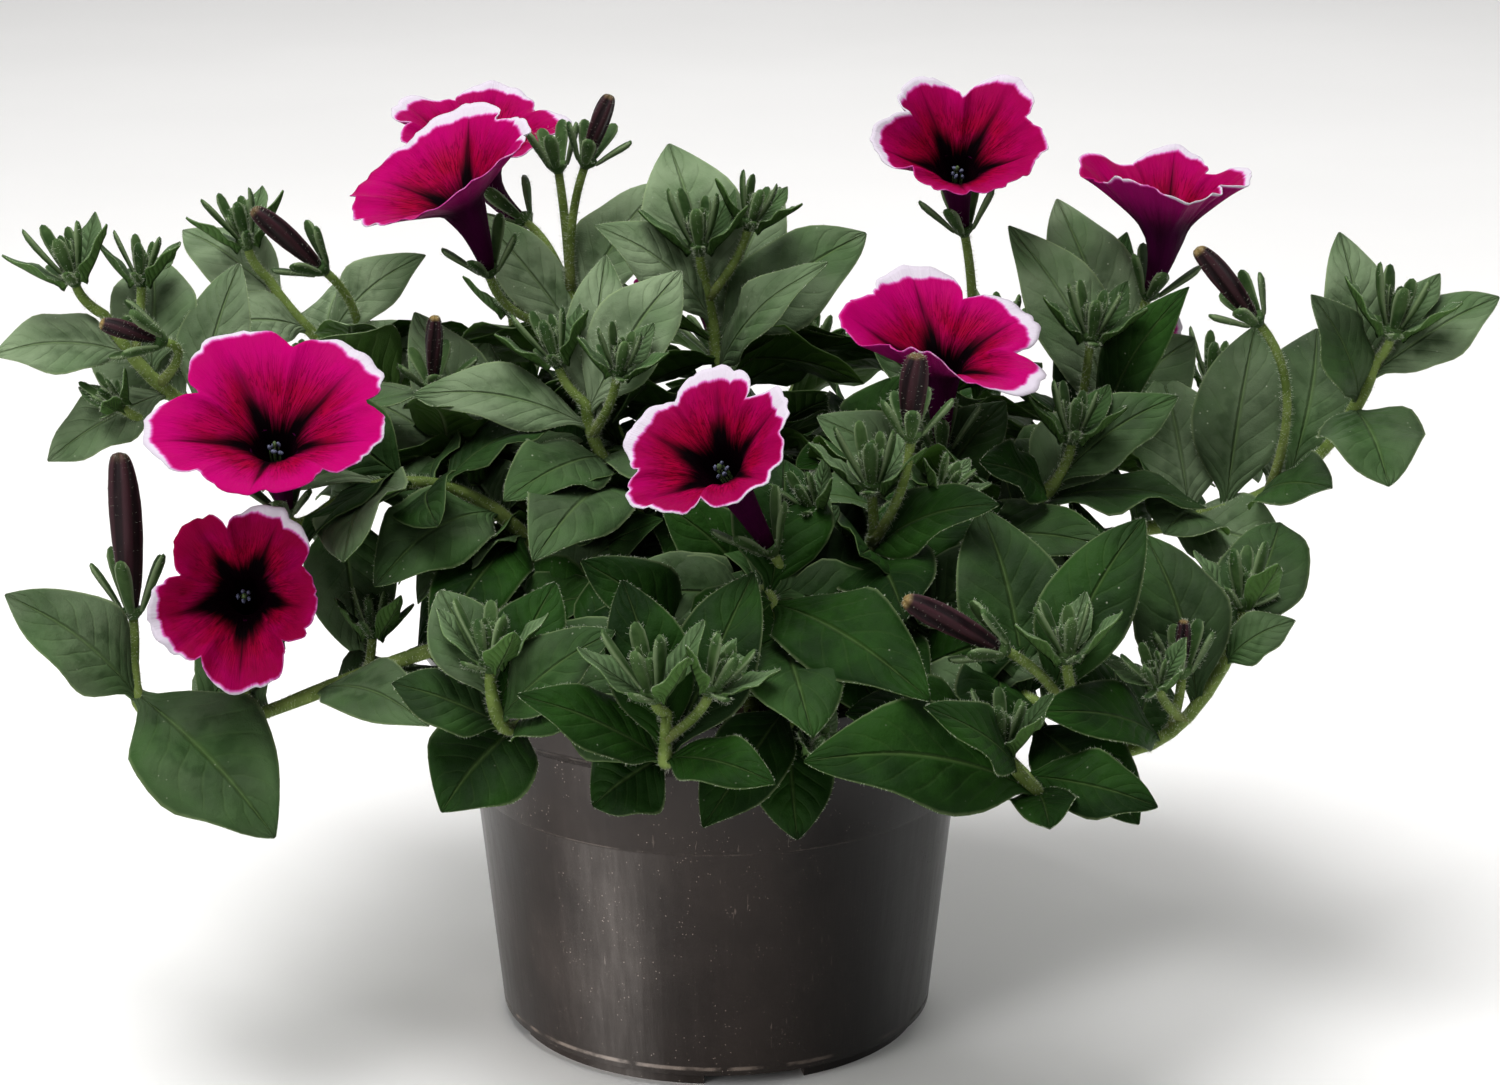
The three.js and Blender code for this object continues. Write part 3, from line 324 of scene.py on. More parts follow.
def makeLeafMaterial():
    looks = leafLooks
    material, shader, place = startMaterial("leaf_blade", looks["specular"], looks["sheen"])
    signedAcross, along, under = surfaceMarks(shader, "mark")
    tone, youth, seed = surfaceMarks(shader, "grain")
    across = calc("ABSOLUTE", signedAcross)
    spot = moved(place, node(shader.id_data, "CombineXYZ", {0: seed, 1: tone, 2: seed}).outputs[0])

    # glaucous patches over the green, which also stand in as painted sheen and grow stronger with the
    # painted light in a leaf's tone, darker blotches beside the midrib
    glaucousAndSheenPatches = remap(noise(spot, 60, 2, 0.5), 0.3, 0.7, 0.45, 1.0)
    fine = noise(spot, 700, 2)
    colour = blendColour(remap(noise(spot, 40), 0.35, 0.65), looks["dark"], looks["middle"])
    colour = blendColour(times(glaucousAndSheenPatches, remap(tone, 0.15, 0.95)), colour, looks["bloom"])
    besideRib = times(remap(across, 0.06, 0.2), remap(across, 0.62, 0.36))
    lowerHalf = times(remap(along, 0.08, 0.25), remap(along, 0.78, 0.5))
    blotch = times(besideRib, lowerHalf, remap(noise(spot, 190, 2), 0.42, 0.62))
    colour = blendColour(times(blotch, looks["blotchShare"]), colour, looks["dark"])

    # midrib and the side veins that run out from it towards the tip
    rib = remap(across, 0.075, 0.0)
    course = minus(times(along, looks["veins"]), times(across, looks["veinSlant"]))
    course = calc("FRACT", plus(course, times(noise(spot, 120, 2), 0.5)))
    fromVein = calc("ABSOLUTE", minus(course, 0.5))
    sideVein = times(remap(fromVein, 0.12, 0.0), remap(across, 1.0, 0.6))
    vein = calc("MAXIMUM", rib, times(sideVein, 0.17))
    colour = blendColour(times(vein, looks["veinShare"]), colour, looks["vein"])
    # the pale margin is partly the leaf's own edge and partly painted rim light, standing in for the lit
    # fuzz along it
    pale = times(remap(across, 0.93, 1.0), remap(along, 0.02, 0.1))
    colour = blendColour(times(pale, looks["marginAndRimLightShare"]), colour, looks["margin"])

    # pale specks of pollen and grit, and a few brown spots
    grit = times(specks(place, 480, 0.14, 0.06), remap(noise(place, 95), 0.56, 0.66))
    colour = blendColour(times(grit, 0.6), colour, looks["grit"])
    spots = times(specks(place, 120, 0.09, 0.05), remap(noise(place, 31), 0.58, 0.64))
    colour = blendColour(times(spots, 0.8), colour, looks["spot"])

    # a yellower underside, young leaves greyer, each leaf of its own tone, which also carries painted light:
    # leaves high up and at the left are made paler and brighter
    below = blendColour(times(vein, 0.6), looks["underside"], looks["margin"])
    colour = blendColour(times(under, 0.85), colour, below)
    colour = blendColour(times(youth, 0.45), colour, looks["young"])
    level = plus(remap(tone, 0, 1, 0.8, 1.6), times(fine, 0.12))
    rough = plus(remap(glaucousAndSheenPatches, 0, 1, 0.48, 0.62), times(fine, 0.1))

    # sunk veins, slightly quilted blade and the fine down on it
    puffed = times(remap(fromVein, 0.0, 0.5), remap(across, 1.0, 0.5))
    height = plus(times(noise(spot, 230, 2), 0.7), times(puffed, 0.25))
    height = plus(minus(height, times(vein, 0.8)), times(noise(spot, 2600, 2), 0.16))
    finish(shader, lighter(level, colour), rough, height, looks["relief"])
    return material


stemLooks = {
    "stem_skin": {"low": (0.07, 0.11, 0.02), "high": (0.15, 0.21, 0.052), "down": 0.12},
    "calyx_skin": {"low": (0.015, 0.04, 0.008), "high": (0.046, 0.087, 0.025), "down": 0.08},
    "sheenTint": (0.8, 0.9, 0.6), "edge": (0.19, 0.25, 0.13), "red": (0.1, 0.07, 0.035),
    "specular": 0.12, "rough": (0.5, 0.68), "relief": 0.0003,
}


def makeStemMaterial(name):
    # skin of stems, calyces and finger-like young leaves, with paler edges, partly painted rim light
    # standing in for lit fuzz, and a redder foot
    looks = stemLooks[name]
    sheen = (looks["down"], 0.35, stemLooks["sheenTint"])
    material, shader, place = startMaterial(name, stemLooks["specular"], sheen)
    edge, _, red = surfaceMarks(shader, "mark")
    tone = surfaceMarks(shader, "grain")[0]
    mottle = remap(noise(place, 160, 4, 0.6), 0.32, 0.68)
    colour = blendColour(mottle, looks["low"], looks["high"])
    # paler edges: partly the skin's own colour, partly painted rim light
    colour = blendColour(times(remap(edge, 0.6, 1.0), 0.6), colour, stemLooks["edge"])
    colour = blendColour(times(red, 0.6), colour, stemLooks["red"])
    level = plus(remap(tone, 0, 1, 0.75, 1.25), times(noise(place, 1500, 2), 0.15))
    height = plus(times(noise(place, 500, 3), 0.6), times(noise(place, 3500, 2), 0.3))
    rough = remap(mottle, 0, 1, *stemLooks["rough"])
    finish(shader, lighter(level, colour), rough, height, stemLooks["relief"])
    return material


# finishes that one noise mixes from two colours
mixedLooks = {
    "pale_hairs": {"low": (0.42, 0.48, 0.32), "high": (0.72, 0.77, 0.6), "grain": (900, 2),
                   "rough": (0.35, 0.6), "specular": 0.5, "relief": 0},
    "anther": {"low": (0.03, 0.035, 0.075), "high": (0.12, 0.125, 0.2), "grain": (2600, 3),
               "rough": (0.45, 0.8), "specular": 0.4, "relief": 0.0002},
    "stigma": {"low": (0.02, 0.05, 0.012), "high": (0.09, 0.13, 0.04), "grain": (2600, 3),
               "rough": (0.45, 0.8), "specular": 0.4, "relief": 0.0002},
}


def makeMixedMaterial(name, **values):
    looks = mixedLooks[name]
    material, shader, place = startMaterial(name, looks["specular"], **values)
    grains = noise(place, *looks["grain"])
    colour = blendColour(remap(grains, 0.35, 0.65), looks["low"], looks["high"])
    height = grains if looks["relief"] else None
    finish(shader, colour, remap(grains, 0.3, 0.7, *looks["rough"]), height, looks["relief"])
    return material


petalLooks = {
    "face": (0.36, 0.0, 0.1), "redFaceAndShade": (0.19, 0.0, 0.028), "crimson": (0.24, 0.0, 0.022),
    "throat": (0.0012, 0.0, 0.0006), "line": (0.014, 0.0, 0.003), "margin": (0.53, 0.48, 0.55),
    "pink": (0.52, 0.09, 0.36), "outside": (0.27, 0.004, 0.11), "tube": (0.022, 0.002, 0.014),
    "cloud": (0.44, 0.0, 0.15), "wallLine": (0.08, 0.0, 0.05),
    "sheen": (0.01, 0.4, (1.0, 0.02, 0.4)), "specular": 0.02, "rough": (0.5, 0.7),
    "relief": 0.0004,
}


def makePetalMaterial():
    looks = petalLooks
    material, shader, place = startMaterial("petal_velvet", looks["specular"], looks["sheen"])
    # 0..1 across half a lobe, 0..1 outwards, mm into the white
    fromVein, out, border = surfaceMarks(shader, "mark")
    # direction round the throat, and redness, which also carries painted shade, -1 on the outside
    around, over, red = surfaceMarks(shader, "grain")
    inside = calc("GREATER_THAN", red, -0.5)
    spokes = node(shader.id_data, "CombineXYZ", {0: around, 1: over, 2: times(out, 0.12)}).outputs[0]
    streak = noise(spokes, 9, 3, 0.65)
    cloud = noise(place, 120, 3)

    # crimson near the throat, magenta further out, nearly black inside; red blooms get a darker face that is
    # partly crimson colour and partly painted shade
    mixed = plus(out, times(minus(streak, 0.5), 0.32))
    face = blendColour(red, looks["face"], looks["redFaceAndShade"])
    colour = blendColour(remap(mixed, 0.3, 0.75), looks["crimson"], face)
    colour = blendColour(times(remap(cloud, 0.4, 0.7), 0.2), colour, looks["cloud"])

    # one dark wedge of a vein in each lobe, finer ones beside it
    taper = calc("POWER", calc("MAXIMUM", minus(1.0, out), 0.0), 3.2)
    width = plus(times(taper, 0.85), 0.014)
    uneven = times(minus(streak, 0.5), times(width, 1.1))
    mainVein = calc("DIVIDE", plus(fromVein, uneven), width)
    mainVein = plus(times(remap(mainVein, 0.5, 0.0), 0.45), times(remap(mainVein, 1.7, 0.1), 0.6))
    mainVein = times(calc("MINIMUM", mainVein, 1.0), remap(out, 1.0, 0.45))
    fineVein = calc("ABSOLUTE", minus(noise(moved(spokes, (3.1, 1.7, 0.4)), 26, 2, 0.5), 0.5))
    fineVein = times(remap(fineVein, 0.04, 0.0), remap(out, 0.9, 0.2))
    lines = calc("MAXIMUM", mainVein, times(fineVein, 0.7))
    colour = blendColour(times(lines, 0.9), colour, looks["line"])
    # red blooms get a wider dark throat, partly painted shade
    deep = minus(mixed, remap(red, 0.5, 1.0, 0.0, 0.08))
    deep = minus(deep, remap(fromVein, 0.6, 0.0, -0.04, 0.14))
    colour = blendColour(remap(deep, 0.28, 0.0), colour, looks["throat"])

    # the outside is duller, with a dark tube
    wall = blendColour(remap(out, 0.0, 0.75), looks["tube"], looks["outside"])
    wall = blendColour(times(lines, 0.35), wall, looks["wallLine"])
    colour = blendColour(inside, wall, colour)

    # white margin of its own width on each lobe, ragged, with a pink edge
    ragged = times(minus(noise(spokes, 11, 3, 0.7), 0.5), 1.9)
    depth = plus(border, times(ragged, remap(border, -3, 1)))
    colour = blendColour(remap(depth, -0.75, 0.2), colour, looks["pink"])
    colour = blendColour(remap(depth, -0.2, 0.6), colour, looks["margin"])
    height = plus(times(lines, -0.5), times(noise(spokes, 40, 2), 0.5), times(noise(place, 4200, 2), 0.12))
    finish(shader, colour, remap(cloud, 0.3, 0.7, *looks["rough"]), height, looks["relief"])
    return material


budLooks = {
    "pleat": (0.034, 0.011, 0.015), "shadedCrease": (0.006, 0.0018, 0.003), "streak": (0.022, 0.01, 0.011),
    "tip": (0.3, 0.21, 0.07), "sheen": (0.04, 0.35, (0.9, 0.8, 0.85)), "specular": 0.14,
    "rough": (0.42, 0.6), "relief": 0.0003,
}


def makeBudMaterial():
    looks = budLooks
    material, shader, place = startMaterial("bud_skin", looks["specular"], looks["sheen"])
    pleat, along, tinge = surfaceMarks(shader, "mark")
    streak = noise(stretched(place, 1, 1, 0.35), 500, 3)
    # painted shade: the sunk creases between the pleats are coloured much darker than the ridges
    colour = blendColour(remap(pleat, 0.25, 0.8), looks["pleat"], looks["shadedCrease"])
    colour = blendColour(times(remap(streak, 0.4, 0.7), 0.4), colour, looks["streak"])
    colour = blendColour(times(remap(along, 0.93, 0.99), tinge), colour, looks["tip"])
    height = plus(times(streak, 0.5), times(pleat, -0.8))
    finish(shader, colour, remap(streak, 0.3, 0.7, *looks["rough"]), height, looks["relief"])
    return material


leafFinish = makeLeafMaterial()
stemFinish, calyxFinish = makeStemMaterial("stem_skin"), makeStemMaterial("calyx_skin")
hairFinish = makeMixedMaterial("pale_hairs", **{"Sheen Weight": 0.3})
plantFinishes = [leafFinish, stemFinish, calyxFinish, hairFinish]
leafSlot, stemSlot, calyxSlot, hairSlot = range(4)
petalFinishes = [makePetalMaterial(), makeMixedMaterial("anther"), makeMixedMaterial("stigma")]
antherSlot, stigmaSlot = 1, 2
budFinishes = [makeBudMaterial(), hairFinish]
print("plant finishes made")


# the pot: its wall is spun from a profile, then notched and drained

potLooks = {
    "dark": (0.0027, 0.0021, 0.0019), "light": (0.005, 0.004, 0.0036), "scratch": (0.009, 0.0072, 0.0065),
    "dust": (0.045, 0.038, 0.033), "specular": 0.22, "brushed": (0.85, 0.25),
    # height, half width and share of the worn lines, in m
    "wear": ((0.0052, 0.0007, 0.75), (0.0636, 0.0003, 0.25), (0.0868, 0.0006, 0.25)),
    "bandEdge": (0.0628, 0.0636), "rough": (0.3, 0.38), "relief": 0.0003,
}
pot = {
    "foot": 51.6, "wallFoot": 54.4, "band": 60.6, "bandHeight": 63, "shoulder": 63.2, "shoulderHeight": 84,
    "collar": 68, "collarHeight": 88, "lip": 73.5, "top": 101.5, "wall": 1.5, "footHeight": 4, "floor": 1.6,
    "boss": 15, "step": 0.6, "flare": 1.6, "lipHeight": 2.6, "round": 0.9, "turns": 112,
    "notch": (12, 25, 6.4), "notchTurn": -79, "notches": 4, "drain": 4.5, "drainRing": 36, "drains": 4,
    "footWidth": 3.5, "softEdge": 0.3,
}
pot["floorTop"] = pot["footHeight"] + pot["floor"]


def makePotMaterial():
    looks = potLooks
    brushed = dict(zip(("Anisotropic", "Anisotropic Rotation"), looks["brushed"]))
    material, shader, place = startMaterial("pot_plastic", looks["specular"], **brushed)
    height = node(shader.id_data, "SeparateXYZ", {0: place}).outputs[2]
    upright = stretched(place, 1, 1, 0.08)
    cloud = noise(place, 26, 4, 0.6)
    drawn = noise(upright, 260, 4, 0.7)
    rings = noise(stretched(place, 0.15, 0.15, 1), 900, 2)
    colour = blendColour(remap(cloud, 0.35, 0.65), looks["dark"], looks["light"])
    colour = blendColour(times(remap(drawn, 0.5, 0.8), 0.2), colour, looks["scratch"])

    # dust specks, and the worn lines along the foot of the wall and under the band
    dots = times(specks(place, 850, 0.16, 0.08), remap(noise(place, 210, 3), 0.47, 0.62))
    scuffs = times(remap(noise(upright, 1400, 2), 0.68, 0.76), remap(cloud, 0.5, 0.62), 0.5)
    dust = calc("MAXIMUM", dots, scuffs)
    for at, half, share in looks["wear"]:
        away = calc("ABSOLUTE", minus(height, at))
        worn = times(remap(away, half, half / 3), share, remap(noise(place, 130, 3), 0.4, 0.6))
        dust = calc("MAXIMUM", dust, worn)
    colour = blendColour(times(dust, 0.8), colour, looks["dust"])
    rough = plus(remap(drawn, 0.3, 0.75, *looks["rough"]), times(remap(height, *looks["bandEdge"]), -0.14),
                 times(dust, 0.35), times(minus(cloud, 0.5), 0.16))
    relief = plus(times(drawn, 0.16), times(rings, 0.06), times(cloud, 0.5))
    finish(shader, colour, rough, relief, looks["relief"])
    return material


def spinProfile(name, profile, turns):
    # a profile of (radius, height) in mm, spun round the upright axis in edit mode
    bpy.ops.mesh.primitive_plane_add(size=0.01)
    piece = bpy.context.object
    piece.name = name
    setMode("EDIT")
    bpy.ops.mesh.delete(type="VERT")
    setMode("OBJECT")
    points = [(radius * mm, 0, height * mm) for radius, height in profile]
    piece.data.from_pydata(points, [(i, i + 1) for i in range(len(points) - 1)], [])
    editAll()
    bpy.ops.mesh.spin(steps=turns, angle=2 * math.pi, center=(0, 0, 0), axis=(0, 0, 1))
    bpy.ops.mesh.select_all(action="SELECT")
    bpy.ops.mesh.remove_doubles(threshold=0.00001)
    facesOutward()
    return piece


def cutRound(piece, count, firstTurn, away, height, addCutter):
    # takes a cutter out of the piece at equal turns round the upright axis
    for i in range(count):
        turn = math.radians(firstTurn + 360 * i / count)
        addCutter((math.cos(turn) * away * mm, math.sin(turn) * away * mm, height * mm), turn)
        cutter = bpy.context.object
        applyModifier(piece, "BOOLEAN", operation="DIFFERENCE", solver="EXACT", object=cutter)
        bpy.data.objects.remove(cutter)


def addNotch(place, turn):
    bpy.ops.mesh.primitive_cube_add(size=1, location=place, rotation=(0, 0, turn),
                                    scale=[side * mm for side in pot["notch"]])


def addDrain(place, turn):
    bpy.ops.mesh.primitive_cylinder_add(vertices=32, radius=pot["drain"] * mm, depth=8 * mm, location=place)


def makePot():
    footInside = pot["foot"] - pot["footWidth"]
    wall, step = pot["wall"], pot["step"]
    lipUnder = pot["top"] - pot["lipHeight"]
    piece = spinProfile("nursery_pot", [
        (0, 0), (pot["boss"], 0), (pot["boss"], pot["footHeight"]),
        (footInside, pot["footHeight"]), (footInside, 0), (pot["foot"], 0),
        (pot["foot"] + step, pot["footHeight"] - step), (pot["wallFoot"], pot["footHeight"] - step),
        (pot["band"], pot["bandHeight"]), (pot["band"] + step, pot["bandHeight"] + 1),
        (pot["shoulder"], pot["shoulderHeight"]), (pot["collar"], pot["collarHeight"]),
        (pot["collar"] + pot["flare"], lipUnder - step), (pot["lip"], lipUnder),
        (pot["lip"], pot["top"] - pot["round"]), (pot["lip"] - pot["round"], pot["top"]),
        (pot["collar"] + 1, pot["top"]), (pot["collar"] - wall, pot["collarHeight"] + 1),
        (pot["shoulder"] - wall, pot["shoulderHeight"] + 1), (pot["band"] - wall, pot["bandHeight"]),
        (pot["wallFoot"] - wall, pot["floorTop"]), (0, pot["floorTop"]),
    ], pot["turns"])
    cutRound(piece, pot["notches"], pot["notchTurn"], pot["foot"], 0, addNotch)
    cutRound(piece, pot["drains"], 0, pot["drainRing"], pot["footHeight"], addDrain)
    applyModifier(piece, "BEVEL", width=pot["softEdge"] * mm, segments=3, limit_method="ANGLE",
                  angle_limit=math.radians(28))
    selectOnly(piece)
    bpy.ops.object.shade_smooth_by_angle(angle=math.radians(35))
    piece.data.materials.clear()
    piece.data.materials.append(makePotMaterial())
    standFor(piece, "pot")


makePot()
print("pot made")


# the potting mix: a spun body with a crumbly top and loose crumbs on it

soil = {
    "top": 91, "mound": 1.6, "gap": 1.9, "rings": 22, "turns": 96, "lump": 1.1, "crumbs": 420, "seed": 4,
    "clear": 0.4, "wallRise": 1.4, "lumps": ((90, 0.5), (230, 0.35), (560, 0.3)), "level": 3,
    "dark": (0.009, 0.006, 0.004), "light": (0.05, 0.03, 0.018), "fibre": (0.14, 0.085, 0.045),
    "crumb": (0.5, 1.9), "squeeze": ((0.6, 1.4), (0.6, 1.2), (0.4, 0.8)), "dents": (0.22, 5.3),
    "spread": 0.94, "above": 0.2, "specular": 0.2, "rough": (0.8, 0.98), "relief": 0.0015,
}


def makeSoilMaterial():
    material, shader, place = startMaterial("peat_mix", soil["specular"])
    crumbs = noise(place, 420, 5, 0.7)
    fibres = noise(stretched(place, 1, 0.2, 1), 1400, 3)
    colour = blendColour(remap(crumbs, 0.35, 0.65), soil["dark"], soil["light"])
    colour = blendColour(times(remap(fibres, 0.6, 0.7), 0.6), colour, soil["fibre"])
    finish(shader, colour, remap(crumbs, 0.3, 0.7, *soil["rough"]), crumbs, soil["relief"])
    return material


def roughenTop(mesh, edge, rng):
    # sums of slanting waves lift the top, and die away near the pot
    points = pointsOf(mesh)
    rise = np.zeros(len(points))
    for scale, share in soil["lumps"]:
        for _ in range(5):
            way = rng.normal(size=3)
            way = way / np.linalg.norm(way) * scale * rng.uniform(0.8, 1.3)
            rise += share * np.sin(points @ way * math.pi + rng.uniform(0, 6.3)) / 2.2
    inner = 1 - smooth(np.hypot(points[:, 0], points[:, 1]), (edge - soil["level"]) * mm, edge * mm)
    onTop = points[:, 2] > (soil["top"] - 0.5) * mm
    points[:, 2] += np.where(onTop, rise * inner * soil["lump"] * mm, 0)
    mesh.vertices.foreach_set("co", points.ravel())
    mesh.update()


def makeCrumbs(edge, rng):
    # one modelled lump, copied with its own squeeze and turn
    bpy.ops.mesh.primitive_ico_sphere_add(subdivisions=2, radius=1)
    lump = takePattern(bpy.context.object)
    heap = startHeap()
    depth, pace = soil["dents"]
    corners = lump["points"] * (1 + depth * np.sin(lump["points"][:, [1, 2, 0]] * pace))
    for _ in range(soil["crumbs"]):
        away = edge * math.sqrt(rng.uniform(0, soil["spread"]))
        turn = rng.uniform(0, 2 * math.pi)
        size = rng.uniform(*soil["crumb"]) * vec(*(rng.uniform(*span) for span in soil["squeeze"]))
        level = soil["top"] + soil["mound"] * (1 - away / edge) + soil["above"]
        spin = np.linalg.qr(rng.normal(size=(3, 3)))[0]
        spin = spin * np.sign(np.linalg.det(spin))
        spot = vec(away * math.cos(turn), away * math.sin(turn), level)
        pile(heap, spot + (corners * size) @ spin.T, lump)
    return buildPiece("peat_crumbs", heap, [])


def makeSoil():
    edge = pot["collar"] - soil["gap"]
    slope = [edge * (1 - k / soil["rings"]) for k in range(soil["rings"] + 1)]
    bottom = pot["floorTop"] + soil["clear"]
    body = [
        (0, bottom), (pot["wallFoot"] - soil["gap"], bottom), (pot["band"] - soil["gap"], pot["bandHeight"]),
        (pot["shoulder"] - soil["gap"], pot["shoulderHeight"] + soil["wallRise"]),
        (edge, pot["collarHeight"] + soil["wallRise"]),
    ]
    topLine = [(radius, soil["top"] + soil["mound"] * (1 - radius / edge)) for radius in slope]
    piece = spinProfile("potting_mix_body", body + topLine, soil["turns"])
    rng = np.random.default_rng(soil["seed"])
    roughenTop(piece.data, edge, rng)
    selectOnly(piece, makeCrumbs(edge, rng))
    bpy.ops.object.join()
    bpy.ops.object.shade_smooth()
    piece.data.materials.clear()
    piece.data.materials.append(makeSoilMaterial())
    standFor(piece, "potting_mix")


makeSoil()
print("potting mix made")


# shapes that repeat: each is modelled once, then its copies are bent into place

leafOutline = [
    (0.0, 0.05), (0.05, 0.062), (0.1, 0.1), (0.16, 0.205), (0.23, 0.335), (0.31, 0.432), (0.4, 0.487),
    (0.47, 0.498), (0.55, 0.482), (0.63, 0.447), (0.71, 0.393), (0.79, 0.318), (0.86, 0.235),
    (0.92, 0.152), (0.965, 0.077), (1.0, 0.012),
]
bladeLines = [0, 0.04, 0.09, 0.14, 0.19, 0.25, 0.31, 0.37, 0.43, 0.5, 0.57, 0.64, 0.71, 0.78, 0.84, 0.9,
              0.95, 0.98, 1]
smallLines = [0, 0.05, 0.1, 0.17, 0.25, 0.34, 0.44, 0.54, 0.64, 0.73, 0.82, 0.9, 0.96, 1]


def modelLeaf(leafLines, columns):
    # a flat blade one long: a grid whose rows are moved and narrowed, then given two sides
    rows = len(leafLines)
    bpy.ops.mesh.primitive_grid_add(x_subdivisions=columns, y_subdivisions=rows - 1, size=1)
    piece = bpy.context.object
    mesh = piece.data
    order = np.array([round((point.co.y + 0.5) * (rows - 1)) for point in mesh.vertices])
    across = np.array([point.co.x * 2 for point in mesh.vertices])
    setMode("EDIT")
    bpy.ops.mesh.select_all(action="DESELECT")
    setMode("OBJECT")
    for row, at in enumerate(leafLines):
        half = np.interp(at, *zip(*leafOutline))
        for i in np.flatnonzero(order == row):
            mesh.vertices[int(i)].select = True
        setMode("EDIT")
        was = row / (rows - 1) - 0.5
        bpy.ops.transform.resize(value=(2 * half, 1, 1), center_override=(0, was, 0))
        bpy.ops.transform.translate(value=(0, at - was, 0))
        bpy.ops.mesh.select_all(action="DESELECT")
        setMode("OBJECT")
    applyModifier(piece, "SOLIDIFY", thickness=1, offset=0, use_rim=True)
    form = takePattern(piece)
    form["across"] = np.concatenate((across, across))
    form["half"] = np.interp(form["points"][:, 1], *zip(*leafOutline))
    return form


def modelFunnel(spokes, rings):
    # rings round a middle, one apart, given two sides: the flat start of a corolla
    bpy.ops.mesh.primitive_circle_add(vertices=spokes, radius=1)
    piece = bpy.context.object
    editAll()
    for ring in range(2, rings + 1):
        bpy.ops.mesh.extrude_region_move()
        wider = ring / (ring - 1)
        bpy.ops.transform.resize(value=(wider, wider, 1), center_override=(0, 0, 0))
    bpy.ops.mesh.select_all(action="SELECT")
    facesOutward()
    applyModifier(piece, "SOLIDIFY", thickness=1, offset=0, use_rim=True)
    return takePattern(piece)


def modelDrop(segments, rings):
    # a closed round form one long, from which sepals, buds and anthers are shaped
    bpy.ops.mesh.primitive_uv_sphere_add(segments=segments, ring_count=rings, radius=1)
    return takePattern(bpy.context.object)


funnel = {"spokes": 132, "tubeRings": 7, "petalRings": 17}
funnelRings = funnel["tubeRings"] + funnel["petalRings"]
grownForm = modelLeaf(bladeLines, 8)
smallForm = modelLeaf(smallLines, 6)
funnelForm = modelFunnel(funnel["spokes"], funnelRings)
fingerForm = modelDrop(8, 8)
budForm = modelDrop(40, 26)
antherForm = modelDrop(10, 7)
print("leaf, petal and sepal shapes modelled")

# how a blade is folded, bowed and thickened in mm, and the hairs on each of its margins
grownLeaf = {"form": grownForm, "youth": 0.0, "fold": 0.11, "bow": 0.1, "thick": 0.42, "hairs": 64}
innerLeaf = {**grownLeaf, "form": smallForm, "hairs": 0}
youngLeaf = {"form": smallForm, "youth": 0.8, "fold": 0.2, "bow": -0.05, "thick": 0.6, "hairs": 34}
bladeBend = {
    "waves": (1.3, 2.4), "ripple": 0.17, "twist": 0.16, "droop": 0.05, "sway": 0.035, "veinRelief": 0.24,
    "rib": 1.15, "ribFoot": 0.9,
}
fingerShape = {
    "tip": 0.76, "foot": 0.62, "widest": (0.05, 0.7), "blunt": 0.06, "thick": 0.36, "inside": 0.5,
    "hollow": -0.06, "youth": 0.3, "hairsAbove": 0.04, "hairsLean": 0.7,
}
# hairs in mm: how many, their length, radius and how much they stray from square
down = {
    "stem": {"perMm": 14, "length": (0.55, 1.25), "scale": 1.15, "radius": 0.04, "stray": 0.25},
    "finger": {"count": 84, "length": (0.45, 0.95), "radius": 0.03, "stray": 0.35, "spread": 0.22},
    "margin": {"length": (0.4, 1.0), "scale": 0.75, "radius": 0.03, "stray": 0.3},
    "bud": {"count": 200, "length": (0.35, 0.8), "radius": 0.035, "stray": 0.3, "spread": 0.05},
    "foot": 0.12, "lowest": 93,
}
ringStart = (1, 0.3, 0.1)    # the side on which the first point of a stem's ring lies


def bendLeaf(heap, base, tip, facing, width, tone, rng, kind):
    chord = tip - base
    length = np.linalg.norm(chord)
    normal, side = squareTo(chord / length, facing)
    form = kind["form"]
    along, across = form["points"][:, 1], form["across"]
    face = np.sign(form["points"][:, 2])
    spread = np.abs(across)
    half = form["half"] * width
    waves, phase = rng.uniform(*bladeBend["waves"]), rng.uniform(0, 6.3)
    ripple = np.sin(2 * math.pi * waves * along + phase + across * 0.7) * spread ** 2 * half
    ripple = ripple * bladeBend["ripple"]
    cup = kind["fold"] * width * (spread - 0.62 * spread ** 2) * np.minimum(1, form["half"] / 0.4)
    twist = rng.uniform(-bladeBend["twist"], bladeBend["twist"]) * across * half * smooth(along, 0.3, 1)
    droop = rng.uniform(0.0, bladeBend["droop"]) * length * smooth(along, 0.6, 1)
    sway = rng.uniform(-bladeBend["sway"], bladeBend["sway"]) * length * np.sin(math.pi * along)
    course = along * leafLooks["veins"] - spread * leafLooks["veinSlant"]
    vein = np.cos(2 * math.pi * course) * spread * (1 - spread)
    vein = vein * bladeBend["veinRelief"] * (1 - kind["youth"]) * width / 20
    lift = 4 * kind["bow"] * length * along * (1 - along) + cup + ripple + twist - droop + vein
    # a thick midrib under the blade that thins out towards the tip, and thin margins
    rib = np.where(spread < 0.05, bladeBend["rib"] * (1 - along) ** 0.8, 0)
    rib = rib + bladeBend["ribFoot"] * smooth(along, 0.14, 0.02)
    depth = kind["thick"] * 0.5 * (1 - 0.5 * spread)
    depth = np.where(face < 0, depth + rib, depth)
    points = (base + np.outer(along, chord) + np.outer(across * half + sway, side)
              + np.outer(lift + face * depth, normal))
    mark = np.column_stack((across, along, (face < 0) * 1.0))
    pile(heap, points, form, leafSlot, mark, (tone, kind["youth"], rng.uniform(0, 9)))
    brim = (spread > 0.99) & (face > 0) & (along > 0.12)
    outward = np.sign(across[brim])[:, None] * side + normal * 0.25 + rng.normal(size=(brim.sum(), 3)) * 0.3
    heap["brims"].append((points[brim], outward, kind["hairs"]))


